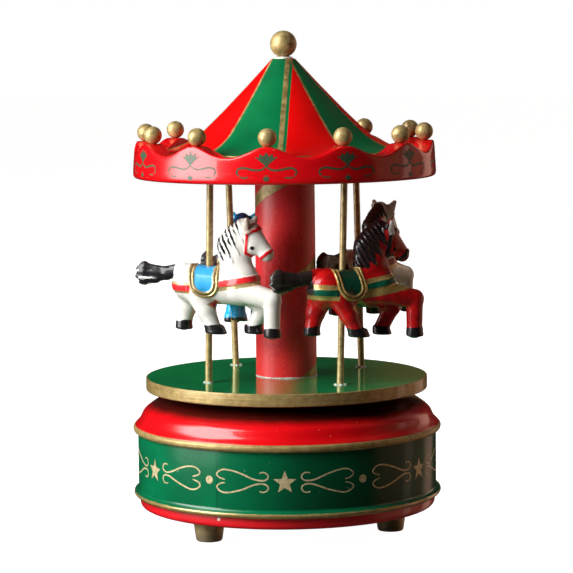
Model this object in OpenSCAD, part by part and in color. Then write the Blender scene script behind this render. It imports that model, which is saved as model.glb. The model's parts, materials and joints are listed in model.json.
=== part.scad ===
// Carousel music box: a round lacquered base with a wind-up movement under its deck, and a
// turntable with a striped column, four leaning poles, four horses and a scalloped canopy.
// Millimetres, +Z up, origin at floor level on the axis the carousel turns about.

/* [Base] */
// Radius of the red bottom board
bottom_r = 52.8; // [45:0.1:54]
// Height of the feet
foot_h = 8.4; // [4:0.1:12]
// Radius of the circle the feet stand on
foot_circle = 38.0; // [34:0.5:44]
// Outer radius of the green drum wall
drum_r = 53.3; // [48:0.1:54]
// Outer radius of the two gold mouldings
mould_r = 55.0; // [53.5:0.1:58]
// Top of the shoulder board
deck_z = 48.0; // [46:0.1:50]

/* [Turntable and column] */
// Radius of the turntable
table_r = 50.2; // [44:0.1:54]
// Underside of the turntable
table_z = 50.1; // [49.5:0.05:51]
// Thickness of the turntable
table_t = 4.5; // [3:0.1:6]
// Radius of the column at its foot
column_r1 = 10.87; // [8:0.01:14]
// Radius of the column at the canopy
column_r2 = 10.6; // [8:0.01:14]

/* [Poles and horses] */
// Radius of a pole
pole_r = 1.18; // [0.8:0.01:1.6]
// Radius of the circle the poles stand on
pole_circle = 33.05; // [28:0.05:38]
// Azimuth of the first pole at the turntable
pole_az_low = 34.25; // [0:0.05:90]
// Azimuth of the first pole at the canopy
pole_az_high = 38.45; // [0:0.05:90]

/* [Canopy] */
// Underside of the canopy
canopy_z = 125.6; // [110:0.1:140]
// Largest radius of the canopy rim
rim_r = 53.65; // [48:0.05:55]
// Height of the scallop peaks
peak_z = 138.3; // [134:0.1:142]
// Height of the scallop valleys
valley_z = 134.65; // [131:0.1:138]
// Radius of the rim balls
ball_r = 3.2; // [2:0.1:4]
// Radius of the finial ball
finial_r = 4.75; // [3:0.05:7]

/* [Hidden] */
$fn = 96;
eps = 0.01;

// ---- shared heights and placements -------------------------------------------------------
board_top = 12.2;
wall_low = 15.5;
wall_high = 35.0;
shoulder_low = 37.8;
table_top = table_z + table_t;
foot_az = [-46.4, 73.6, 193.6];
cover_r = 31.8;
socket = 2.5;
pole_fit = 0.02;
rim_az = -6.6;
rim_circle = 49.6;
ball_z = 141.3;
cone_floor = 133.0;
apex_z = 167.2;
finial_z = 172.3;

// ---- movement ----------------------------------------------------------------------------
bed_z = 39.5;
bed_t = deck_z - 6.0 - bed_z;
arbor_r = 2.0;
run_fit = 0.04;
cyl_z = 29.6;
crown_teeth = 30;
crown_m = 0.8;
pinion_teeth = 14;
cyl_teeth = 32;
fine_m = 0.5;
transfer_teeth = 10;
worm_teeth = 24;
crown_in = 10.9;
crown_out = 12.7;
pin_x0 = 14.6;
pin_x1 = 33.0;
gear_w = 1.6;
shaft_y = -(cyl_teeth + transfer_teeth) * fine_m / 2;
worm_r = 1.6;
worm_x = 37.6;
worm_y = shaft_y - worm_teeth * fine_m / 2 - worm_r;
cyl_phase = 180 / pinion_teeth;
transfer_phase = 180 / transfer_teeth;

// ---- helpers -----------------------------------------------------------------------------
function on_circle(r, az) = [r * sin(az), -r * cos(az)];
function pole_low(k) = concat(on_circle(pole_circle, pole_az_low + 90 * k), [table_top]);
function pole_high(k) = concat(on_circle(pole_circle, pole_az_high + 90 * k), [canopy_z]);
function pole_at(k, z) =
    pole_low(k) + (pole_high(k) - pole_low(k)) * (z - table_top) / (canopy_z - table_top);

// A cylinder along pole k from height z0 to height z1
module along_pole(k, r, z0, z1) {
    d = pole_at(k, z1) - pole_at(k, z0);
    translate(pole_at(k, z0))
        rotate([0, acos(d[2] / norm(d)), atan2(d[1], d[0])])
            cylinder(r = r, h = norm(d), $fn = 48);
}

module tube(r_out, r_in, z0, z1) {
    translate([0, 0, z0]) difference() {
        cylinder(r = r_out, h = z1 - z0);
        translate([0, 0, -1]) cylinder(r = r_in, h = z1 - z0 + 2);
    }
}

module at_azimuth(r, az) {
    translate(concat(on_circle(r, az), [0])) children();
}

// A slotted screw pointing up (up = 1) or down (up = -1) from the underside of its head
module screw(head_r, head_h, shank_r, shank_l, up) {
    difference() {
        mirror([0, 0, up > 0 ? 1 : 0]) cylinder(r = head_r, h = head_h, $fn = 32);
        translate([-head_r - 1, -0.2, up > 0 ? -head_h - 1 : head_h - 0.35])
            cube([2 * head_r + 2, 0.4, 1.35]);
    }
    mirror([0, 0, up > 0 ? 0 : 1]) translate([0, 0, -eps])
        cylinder(r = shank_r, h = shank_l + eps, $fn = 32);
}

// A straight-flanked spur gear with play at the pitch line, teeth centred on angle 0
module spur(teeth, m, h, play) {
    r = teeth * m / 2;
    root = r - 1.15 * m;
    tip = r + 0.85 * m;
    pitch_half = m * 1.5708 / 2 - play / 2;
    root_half = pitch_half + 0.34 * m;
    tip_half = pitch_half - 0.36 * m;
    linear_extrude(height = h) union() {
        circle(r = root, $fn = 64);
        for (i = [0 : teeth - 1])
            rotate(360 / teeth * i) polygon([
                [root - 0.3 * m, -root_half], [root, -root_half], [r, -pitch_half],
                [tip, -tip_half], [tip, tip_half], [r, pitch_half],
                [root, root_half], [root - 0.3 * m, root_half]]);
    }
}

// ---- base --------------------------------------------------------------------------------
module bottom_board() {
    color("firebrick") difference() {
        rotate_extrude() polygon([
            [28.5, foot_h + 1.8], [cover_r + 0.4, foot_h + 1.8], [cover_r + 0.4, foot_h],
            [bottom_r - 2.2, foot_h], [bottom_r - 1.2, foot_h + 0.25],
            [bottom_r - 0.4, foot_h + 0.9], [bottom_r, foot_h + 1.9], [bottom_r, board_top],
            [28.5, board_top]]);
        for (az = foot_az) at_azimuth(foot_circle, az)
            translate([0, 0, foot_h - 1]) cylinder(r = 2.02, h = 3.6, $fn = 32);
        for (i = [0 : 2]) at_azimuth(30.2, 120 * i + 14)
            translate([0, 0, foot_h]) cylinder(r = 0.72, h = 3.4, $fn = 32);
    }
}

module lower_moulding() {
    color("goldenrod") rotate_extrude() polygon([
        [46.5, board_top], [mould_r - 1.6, board_top], [mould_r - 0.55, board_top + 0.45],
        [mould_r - 0.1, board_top + 1.15], [mould_r - 0.1, board_top + 1.75],
        [mould_r - 0.5, board_top + 2.3], [mould_r - 1.1, board_top + 2.7],
        [drum_r + 0.25, board_top + 3.0], [drum_r + 0.1, wall_low], [46.5, wall_low]]);
}

module drum_wall() {
    color("seagreen") tube(drum_r, 49.8, wall_low, wall_high);
}

module upper_moulding() {
    color("goldenrod") rotate_extrude() polygon([
        [47.5, wall_high], [drum_r + 0.2, wall_high], [mould_r - 0.8, wall_high + 0.45],
        [mould_r - 0.1, wall_high + 1.05], [mould_r, wall_high + 1.6],
        [mould_r - 0.15, wall_high + 2.3], [mould_r - 0.55, shoulder_low], [47.5, shoulder_low]]);
}

module shoulder_board() {
    color("red") difference() {
        rotate_extrude() polygon([
            [11.5, deck_z - 6], [46.5, deck_z - 6], [46.5, shoulder_low],
            [54.4, shoulder_low], [53.7, 38.5], [53.05, 39.15], [52.3, 40.3], [51.75, 41.5],
            [51.1, 42.6], [49.9, 43.7], [48.3, 44.85], [46.2, 46.1], [43.7, 47.15],
            [41.0, 47.85], [39.5, deck_z], [11.5, deck_z]]);
        for (p = bed_screw_at) translate([p[0], p[1], deck_z - 6 - eps])
            cylinder(r = 0.72, h = 4.2, $fn = 32);
    }
}

module foot(i) {
    color("darkgoldenrod") at_azimuth(foot_circle, foot_az[i]) rotate_extrude($fn = 72) polygon([
        [0, 0], [3.9, 0], [4.35, 0.25], [4.6, 0.8], [5.1, 3.4], [5.6, foot_h - 1.2],
        [5.7, foot_h], [2.0, foot_h], [2.0, foot_h + 2.4], [0, foot_h + 2.4]]);
}
module foot_1() { foot(0); }
module foot_2() { foot(1); }
module foot_3() { foot(2); }

module bottom_cover() {
    color("tan") difference() {
        translate([0, 0, foot_h + 0.3]) cylinder(r = cover_r, h = 1.5);
        for (i = [0 : 2]) at_azimuth(30.2, 120 * i + 14)
            translate([0, 0, foot_h]) cylinder(r = 0.85, h = 3, $fn = 32);
        for (r = [8, 14], i = [0 : 7]) rotate(45 * i + r)
            translate([r, 0, foot_h]) cylinder(r = 1.3, h = 3, $fn = 32);
    }
}

module bottom_cover_screws() {
    color("silver") for (i = [0 : 2]) at_azimuth(30.2, 120 * i + 14)
        translate([0, 0, foot_h + 0.3]) screw(1.4, 0.6, 0.7, 2.9, 1);
}

module thrust_washer() {
    color("dimgray") tube(22, 14, deck_z, table_z - 0.05);
}

// ---- movement, fixed parts ---------------------------------------------------------------
bed_screw_at = [[-13.5, 11], [22, -19.5], [36.8, 11.5]];

module bedplate() {
    color("khaki") difference() {
        union() {
            translate([0, 0, bed_z]) linear_extrude(height = bed_t) polygon([
                [-17, -15], [-10, -21.8], [36.5, -21.8], [40, -19], [40, 13], [36, 17],
                [-12, 17], [-17, 13]]);
            // Bearing posts of the pin cylinder; the outer one also carries the second shaft
            translate([13.1, -2.6, cyl_z - 2.6]) cube([1.1, 5.2, bed_z - cyl_z + 2.7]);
            translate([34.95, shaft_y - 2.2, cyl_z - 2.6])
                cube([1.25, 2.6 - shaft_y + 2.2, bed_z - cyl_z + 2.7]);
            // Ledge of the comb
            translate([15, 12.5, cyl_z + 0.8]) cube([18, 4.5, bed_z - cyl_z - 0.7]);
        }
        translate([0, 0, bed_z - 1]) cylinder(r = arbor_r + run_fit, h = bed_t + 2);
        translate([10, 0, cyl_z]) rotate([0, 90, 0]) cylinder(r = 1 + run_fit, h = 30, $fn = 32);
        translate([33, shaft_y, cyl_z]) rotate([0, 90, 0])
            cylinder(r = 0.7 + run_fit, h = 5, $fn = 32);
        for (p = bed_screw_at) translate([p[0], p[1], 0])
            cylinder(r = 0.85, h = 60, $fn = 32);
        for (x = [18, 28]) translate([x, 14.8, cyl_z]) cylinder(r = 0.62, h = 5, $fn = 32);
        for (p = barrel_lug_at) translate([p[0], p[1], bed_z - 1])
            cylinder(r = 0.62, h = 5, $fn = 32);
        translate([37.9, -20.2, bed_z - 1]) cylinder(r = 0.52, h = 3, $fn = 32);
    }
}

module bedplate_screws() {
    color("silver") for (p = bed_screw_at) translate([p[0], p[1], bed_z])
        screw(1.5, 0.7, 0.7, 6.2, 1);
}

barrel_lug_at = [[-15.2, -3], [-15.2, 3]];

module spring_barrel() {
    color("gold") difference() {
        union() {
            tube(10.2, 9.5, 22, 35.6);
            translate([0, 0, 22]) cylinder(r = 10.2, h = 0.9);
            translate([-16.4, -5, 22]) cube([2.4, 10, bed_z - 22]);
            difference() {
                translate([-16, -5, 22]) cube([8, 10, 4]);
                translate([0, 0, 22.9]) cylinder(r = 9.5, h = 5);
            }
        }
        translate([0, 0, 20]) cylinder(r = arbor_r + run_fit, h = 5);
        for (p = barrel_lug_at) translate([p[0], p[1], 30]) cylinder(r = 0.6, h = 12, $fn = 32);
    }
}

module mainspring() {
    turns = 6;
    steps = turns * 24;
    r_in = 2.5;
    r_out = 9.2;
    outer = [for (i = [0 : steps])
        let (a = 360 * turns * i / steps, r = r_in + (r_out - r_in) * i / steps)
        [r * cos(a), r * sin(a)]];
    inner = [for (i = [steps : -1 : 0])
        let (a = 360 * turns * i / steps, r = r_in + (r_out - r_in) * i / steps - 0.3)
        [r * cos(a), r * sin(a)]];
    color("slategray") translate([0, 0, 23.3]) linear_extrude(height = 11.6)
        polygon(concat(outer, inner));
}

module comb() {
    pitch = (pin_x1 - pin_x0 - 0.4) / 18;
    color("lightsteelblue") difference() {
        translate([0, 0, cyl_z]) linear_extrude(height = 0.8) union() {
            translate([15, 12.6]) square([18, 4.4]);
            for (i = [0 : 17]) translate([pin_x0 + 0.3 + pitch * i, 7.1])
                polygon([[0.2, 0], [pitch - 0.2, 0], [pitch - 0.1, 5.6 + 0.05 * i], [0.1, 5.6]]);
        }
        for (x = [18, 28]) translate([x, 14.8, cyl_z - 1]) cylinder(r = 0.7, h = 3, $fn = 32);
    }
}

module comb_screws() {
    color("silver") for (x = [18, 28]) translate([x, 14.8, cyl_z])
        screw(1.3, 0.7, 0.6, 4.5, 1);
}

module governor_frame() {
    color("gold") difference() {
        union() {
            translate([34.6, -22.2, 19.5]) cube([5.6, 1.0, bed_z - 19.5]);
            translate([36.2, -22.2, 19.5]) cube([2.8, 5.4, 0.9]);
            translate([36.2, -22.2, 34.4]) cube([2.8, 5.4, 0.9]);
            translate([36.5, -22.2, bed_z - 1.2]) cube([3.7, 14.2, 1.2]);
            translate([39.1, -15.6, 26]) cube([1.1, 7.6, bed_z - 26.5]);
        }
        translate([worm_x, worm_y, 18]) cylinder(r = 0.5 + run_fit, h = 18.5, $fn = 32);
        translate([38.5, shaft_y, cyl_z]) rotate([0, 90, 0])
            cylinder(r = 0.7 + run_fit, h = 3, $fn = 32);
        translate([37.9, -20.2, 38]) cylinder(r = 0.55, h = 3, $fn = 32);
    }
}

module governor_screw() {
    color("silver") translate([37.9, -20.2, bed_z - 1.2]) screw(0.95, 0.5, 0.5, 3.0, 1);
}

// ---- movement, turning parts -------------------------------------------------------------
module arbor() {
    color("silver") translate([0, 0, 21]) cylinder(r = arbor_r, h = 28.4);
}

module ratchet_wheel() {
    color("silver") difference() {
        translate([0, 0, 38.25]) linear_extrude(height = 0.95) union() {
            circle(r = 4.9);
            for (i = [0 : 15]) rotate(22.5 * i) polygon([[4.5, 0], [6.0, 0], [4.6, 1.9]]);
        }
        translate([0, 0, 37]) cylinder(r = arbor_r, h = 4);
    }
}

module crown_wheel() {
    r = crown_teeth * crown_m / 2;
    pitch_z = cyl_z + pinion_teeth * crown_m / 2;
    half = crown_m * 1.5708 / 2 - 0.17;
    color("gold") difference() {
        union() {
            tube(crown_out, arbor_r + run_fit, pitch_z + 0.95, 38.0);
            tube(3.6, arbor_r + run_fit, pitch_z + 0.75, 38.0);
            for (i = [0 : crown_teeth - 1]) rotate(360 / crown_teeth * i)
                translate([crown_in, 0, pitch_z])
                    rotate([90, 0, 90]) linear_extrude(height = crown_out - crown_in - 0.02)
                        polygon([[-half - 0.3, 1.2], [-half - 0.28, 0.9], [-half, 0],
                                 [-half + 0.26, -0.68], [half - 0.26, -0.68], [half, 0],
                                 [half + 0.28, 0.9], [half + 0.3, 1.2]]);
        }
        for (i = [0 : 3]) rotate(90 * i + 45) translate([7.6, 0, 30]) cylinder(r = 2.0, h = 12, $fn = 48);
        rotate(20) translate([7.9, 0, 30]) cylinder(r = 0.5, h = 12, $fn = 32);
    }
}

module click() {
    color("silver") rotate(20) {
        translate([7.9, 0, 36.6]) cylinder(r = 0.48, h = 2.5, $fn = 32);
        translate([0, 0, 38.05]) linear_extrude(height = 0.9)
            polygon([[7.2, -0.5], [8.4, -0.8], [8.8, 0.4], [8.2, 1.6], [6.4, 3.2], [6.25, 2.9], [7.4, 1.2]]);
    }
}

module cylinder_shaft() {
    color("silver") translate([10.6, 0, cyl_z]) rotate([0, 90, 0])
        cylinder(r = 1.0, h = 26.0, $fn = 32);
}

module pin_cylinder() {
    rows = 18;
    pitch = (pin_x1 - pin_x0 - 0.4) / rows;
    color("goldenrod") difference() {
        union() {
            translate([pin_x0, 0, cyl_z]) rotate([0, 90, 0])
                cylinder(r = 6.5, h = pin_x1 - pin_x0);
            for (i = [0 : rows - 1], j = [0 : 1])
                translate([pin_x0 + 0.3 + pitch * (i + 0.5), 0, cyl_z])
                    rotate([(137.5 * i + 163 * j) % 360, 0, 0]) translate([0, 0, 6.2])
                        cylinder(r = 0.2, h = 0.65, $fn = 16);
        }
        translate([pin_x0 - 1, 0, cyl_z]) rotate([0, 90, 0]) cylinder(r = 1.0, h = 22, $fn = 32);
    }
}

module cylinder_pinion() {
    color("gold") difference() {
        translate([crown_in, 0, cyl_z]) rotate([0, 90, 0]) rotate(cyl_phase)
            spur(pinion_teeth, crown_m, crown_out - crown_in - 0.1, 0.34);
        translate([5, 0, cyl_z]) rotate([0, 90, 0]) cylinder(r = 1.0, h = 12, $fn = 32);
    }
}

module cylinder_gear() {
    color("gold") difference() {
        translate([pin_x1, 0, cyl_z]) rotate([0, 90, 0]) rotate(90)
            spur(cyl_teeth, fine_m, gear_w, 0.2);
        translate([pin_x1 - 1, 0, cyl_z]) rotate([0, 90, 0]) cylinder(r = 1.0, h = 4, $fn = 32);
    }
}

module transfer_pinion() {
    color("silver") translate([0, shaft_y, cyl_z]) rotate([0, 90, 0]) {
        translate([0, 0, pin_x1]) rotate(90 + transfer_phase)
            spur(transfer_teeth, fine_m, gear_w, 0.2);
        translate([0, 0, pin_x1 - 0.8]) cylinder(r = 0.7, h = 40.1 - pin_x1 + 0.8, $fn = 32);
    }
}

module worm_wheel() {
    color("gold") translate([worm_x - 0.6, shaft_y, cyl_z]) rotate([0, 90, 0]) difference() {
        rotate(90) spur(worm_teeth, fine_m, 1.2, 0.34);
        translate([0, 0, -1]) cylinder(r = 0.7, h = 4, $fn = 32);
    }
}

module fan_worm() {
    pitch = 3.14159265 * fine_m;
    turns = 3;
    color("silver") translate([worm_x, worm_y, 0]) {
        translate([0, 0, 19.2]) cylinder(r = 0.5, h = 16.3, $fn = 32);
        translate([0, 0, cyl_z - pitch * turns / 2]) rotate(90)
            linear_extrude(height = pitch * turns, twist = -360 * turns, slices = 16 * turns, $fn = 12)
                union() {
                    circle(r = 0.98, $fn = 12);
                    polygon([[0, -0.5], [1.1, -0.75], [1.75, -0.42], [1.92, 0],
                             [1.75, 0.42], [1.1, 0.75], [0, 0.5]]);
                }
        translate([-2.8, -0.2, 21.2]) cube([5.6, 0.4, 4.2]);
        translate([0, 0, 20.8]) cylinder(r = 1.0, h = 5.0, $fn = 32);
    }
}

module drive_hub() {
    color("silver") difference() {
        union() {
            translate([0, 0, 43.0]) cylinder(r = 4.5, h = table_z - 43.0);
            translate([0, 0, table_z - 1.7]) cylinder(r = 10.5, h = 1.7);
        }
        translate([0, 0, 42]) cylinder(r = arbor_r, h = 7.4);
        for (i = [0 : 2]) at_azimuth(7.6, 120 * i) {
            translate([0, 0, 48]) cylinder(r = 0.85, h = 4, $fn = 32);
            translate([0, 0, 48]) cylinder(r = 1.6, h = 1.0, $fn = 32);
        }
    }
}

module hub_screws() {
    color("silver") for (i = [0 : 2]) at_azimuth(7.6, 120 * i)
        translate([0, 0, 49.0]) screw(1.4, 0.55, 0.7, 4.6, 1);
}

// ---- carousel ----------------------------------------------------------------------------
module turntable() {
    color("forestgreen") difference() {
        rotate_extrude() polygon([
            [0, table_z], [table_r - 0.3, table_z], [table_r, table_z + 0.3],
            [table_r, table_top - 0.25], [table_r - 0.25, table_top], [0, table_top]]);
        translate([0, 0, table_z + 1]) cylinder(r = 6.0, h = 6);
        for (k = [0 : 3]) along_pole(k, pole_r + pole_fit, table_top - socket, table_top + 3);
        for (i = [0 : 2]) at_azimuth(7.6, 120 * i)
            translate([0, 0, table_z - 1]) cylinder(r = 0.72, h = 4.6, $fn = 32);
    }
}

module column() {
    color("crimson") rotate_extrude() polygon([
        [0, table_z + 1], [5.98, table_z + 1], [5.98, table_top], [column_r1, table_top],
        [column_r2, canopy_z], [5.98, canopy_z], [5.98, canopy_z + 4.0], [0, canopy_z + 4.0]]);
}

module pole(k) {
    color("darkgoldenrod") along_pole(k, pole_r, table_top - socket + 0.2, canopy_z + socket - 0.2);
}
module pole_1() { pole(0); }
module pole_2() { pole(1); }
module pole_3() { pole(2); }
module pole_4() { pole(3); }

module canopy_rim() {
    cut_r = 18.6;
    color("red") difference() {
        rotate_extrude() polygon([
            [0, canopy_z], [rim_r - 1.9, canopy_z], [rim_r - 0.7, canopy_z + 0.4],
            [rim_r - 0.15, canopy_z + 1.1], [rim_r, canopy_z + 2.1],
            [rim_r - 0.65, peak_z - 0.8], [rim_r - 1.2, peak_z - 0.15], [rim_r - 1.7, peak_z],
            [46.6, peak_z], [45.9, peak_z - 0.4], [43.4, cone_floor], [0, cone_floor]]);
        for (i = [0 : 11]) rotate(rim_az + 30 * i + 15 - 90)
            translate([40, 0, valley_z + cut_r]) rotate([0, 90, 0])
                cylinder(r = cut_r, h = 20);
        translate([0, 0, canopy_z - 1]) cylinder(r = 6.0, h = 5.2);
        for (k = [0 : 3]) along_pole(k, pole_r + pole_fit, canopy_z - 3, canopy_z + socket);
        for (i = [0 : 11]) translate(concat(on_circle(rim_circle, rim_az + 30 * i), [ball_z]))
            sphere(r = ball_r, $fn = 48);
    }
}

module roof_cone() {
    color("green") difference() {
        rotate_extrude() polygon([
            [0, cone_floor], [43.0, cone_floor], [43.1, 134.7], [41.0, 135.4], [38.4, 136.3],
            [35.6, 137.3], [32.7, 138.9], [30.0, 140.8], [28.4, 142.1], [21.6, 148.7],
            [4.06, apex_z], [0, apex_z]]);
        translate([0, 0, apex_z - 6]) cylinder(r = 1.5, h = 7, $fn = 32);
    }
}

module finial() {
    color("goldenrod") union() {
        translate([0, 0, finial_z]) sphere(r = finial_r);
        translate([0, 0, apex_z]) cylinder(r = 3.1, h = 1.3, $fn = 48);
        translate([0, 0, apex_z - 5.6]) cylinder(r = 1.48, h = 8, $fn = 32);
    }
}

module rim_ball(i) {
    color("goldenrod") translate(concat(on_circle(rim_circle, rim_az + 30 * i), [ball_z]))
        sphere(r = ball_r, $fn = 48);
}
module rim_ball_01() { rim_ball(0); }
module rim_ball_02() { rim_ball(1); }
module rim_ball_03() { rim_ball(2); }
module rim_ball_04() { rim_ball(3); }
module rim_ball_05() { rim_ball(4); }
module rim_ball_06() { rim_ball(5); }
module rim_ball_07() { rim_ball(6); }
module rim_ball_08() { rim_ball(7); }
module rim_ball_09() { rim_ball(8); }
module rim_ball_10() { rim_ball(9); }
module rim_ball_11() { rim_ball(10); }
module rim_ball_12() { rim_ball(11); }

// ---- horses ------------------------------------------------------------------------------
// One moulded horse, heading along +X with the pole through its origin, hooves at height 0.
// Each row is a chain of balls, as [x, y, z, r], whose hull is one mass of the body.
masses = [
    [[-5.8, 0, 16.9, 6.3], [4, 0, 16.6, 6.2], [13.0, 0, 16.9, 6.0]],
    [[9.8, 0, 22.0, 5.0], [12.4, 0, 35.2, 3.6], [6.6, 0, 30.6, 2.7]],
    [[14.2, 0, 35.0, 3.9], [15.6, 0, 31.8, 3.3], [21.5, 0, 28.3, 2.3]],
    [[12.4, -2.8, 15.4, 3.6], [25.0, -3.5, 13.1, 2.7]],
    [[25.0, -3.5, 13.1, 2.7], [25.3, -3.5, 2.4, 2.4]],
    [[13.8, 2.8, 13.8, 3.6], [19.2, 3.4, 9.4, 2.7]],
    [[19.2, 3.4, 9.4, 2.7], [15.8, 3.5, 2.6, 2.4]],
    [[-2.6, -2.8, 14.0, 4.2], [0.6, -3.4, 8.0, 2.9]],
    [[0.6, -3.4, 8.0, 2.9], [3.6, -3.5, 2.5, 2.4]],
    [[-7.4, 2.8, 14.0, 4.4], [-9.2, 3.4, 7.8, 2.9]],
    [[-9.2, 3.4, 7.8, 2.9], [-10.4, 3.5, 2.4, 2.4]]];
ears = [[[14.8, 2.3, 36.8, 1.8], [15.5, 4.4, 40.3, 0.7]],
        [[14.8, -2.3, 36.8, 1.8], [15.5, -4.4, 40.3, 0.7]]];
tail = [[[-9.6, 0, 21.0, 2.3], [-15.5, 0, 20.0, 2.3]],
        [[-15.5, 0, 20.0, 2.3], [-20.5, 0, 19.4, 2.9]],
        [[-20.5, 0, 19.4, 2.9], [-23.3, 0, 19.2, 4.1]]];
hooves = [[25.3, -3.5], [15.5, 3.5], [4.2, -3.5], [-10.4, 3.5]];

// The horse stands on pole k at height z0, turned by yaw, its nose dipped by pitch and its body
// moved along itself by slip
module horse(k, z0, yaw, pitch, slip) {
    difference() {
        translate(pole_at(k, z0 + 17)) rotate([0, 0, yaw]) rotate([0, pitch, 0])
            translate([slip, 0, -17]) union() {
                for (m = concat(masses, ears)) hull()
                    for (b = m) translate([b[0], b[1], b[2]]) sphere(r = b[3], $fn = 10);
                scale([1, 0.55, 1]) for (m = tail) hull()
                    for (b = m) translate([b[0], b[1], b[2]]) sphere(r = b[3], $fn = 10);
                for (h = hooves) translate([h[0], h[1], 0])
                    cylinder(r1 = 3.2, r2 = 2.6, h = 3.3, $fn = 12);
            }
        along_pole(k, pole_r + 0.03, z0 - 8, z0 + 50);
    }
}
module white_horse() { color("ivory") horse(3, 72.5, -20, 2, -0.3); }
module red_horse() { color("darkred") horse(0, 71.4, 20, 2, 0.8); }
module cream_horse() { color("wheat") horse(1, 74.0, 55, 2, 1.4); }
module blue_horse() { color("deepskyblue") horse(2, 71.1, 72, 9.5, -4.5); }

bottom_board();
lower_moulding();
drum_wall();
upper_moulding();
shoulder_board();
foot_1();
foot_2();
foot_3();
bottom_cover();
bottom_cover_screws();
thrust_washer();
bedplate();
bedplate_screws();
spring_barrel();
mainspring();
comb();
comb_screws();
governor_frame();
governor_screw();
turntable();
column();
pole_1();
pole_2();
pole_3();
pole_4();
white_horse();
red_horse();
cream_horse();
blue_horse();
canopy_rim();
roof_cone();
finial();
rim_ball_01();
rim_ball_02();
rim_ball_03();
rim_ball_04();
rim_ball_05();
rim_ball_06();
rim_ball_07();
rim_ball_08();
rim_ball_09();
rim_ball_10();
rim_ball_11();
rim_ball_12();
drive_hub();
hub_screws();
arbor();
ratchet_wheel();
crown_wheel();
click();
pin_cylinder();
cylinder_pinion();
cylinder_gear();
cylinder_shaft();
worm_wheel();
transfer_pinion();
fan_worm();
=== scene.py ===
"""Looks for the carousel music box: lacquered and gilded turned wood and four painted horses."""
import json
import math

import bpy
import numpy as np
from mathutils import Matrix, Vector


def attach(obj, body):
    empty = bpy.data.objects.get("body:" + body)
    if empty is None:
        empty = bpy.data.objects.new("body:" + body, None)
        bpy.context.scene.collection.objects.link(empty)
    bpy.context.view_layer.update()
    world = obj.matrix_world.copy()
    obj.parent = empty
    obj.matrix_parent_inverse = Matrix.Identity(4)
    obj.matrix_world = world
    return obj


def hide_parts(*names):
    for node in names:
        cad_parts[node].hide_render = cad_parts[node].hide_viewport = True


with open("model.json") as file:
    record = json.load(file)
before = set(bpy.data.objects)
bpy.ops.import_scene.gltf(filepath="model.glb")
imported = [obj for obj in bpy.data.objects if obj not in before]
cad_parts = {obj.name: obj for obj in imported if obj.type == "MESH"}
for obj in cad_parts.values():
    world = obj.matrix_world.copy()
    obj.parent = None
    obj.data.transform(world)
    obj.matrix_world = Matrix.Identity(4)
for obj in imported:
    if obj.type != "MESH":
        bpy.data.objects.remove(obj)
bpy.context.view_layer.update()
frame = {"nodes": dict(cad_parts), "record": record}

MM = 0.001
NODES = frame["nodes"]

# Sizes in mm that several pieces share
WALL_R, TABLE_LOW, TABLE_TOP, CANOPY_Z = 53.3, 50.1, 54.6, 125.6
WALL_MM_A_DEGREE = 0.92

RED, RED_DEEP = (0.62, 0.003, 0.006), (0.46, 0.001, 0.003)
GREEN, GREEN_DEEP = (0.001, 0.125, 0.046), (0.001, 0.075, 0.029)
GOLD, GOLD_DARK = (0.56, 0.41, 0.16), (0.24, 0.16, 0.05)
GOLD_METAL = 0.5


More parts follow.
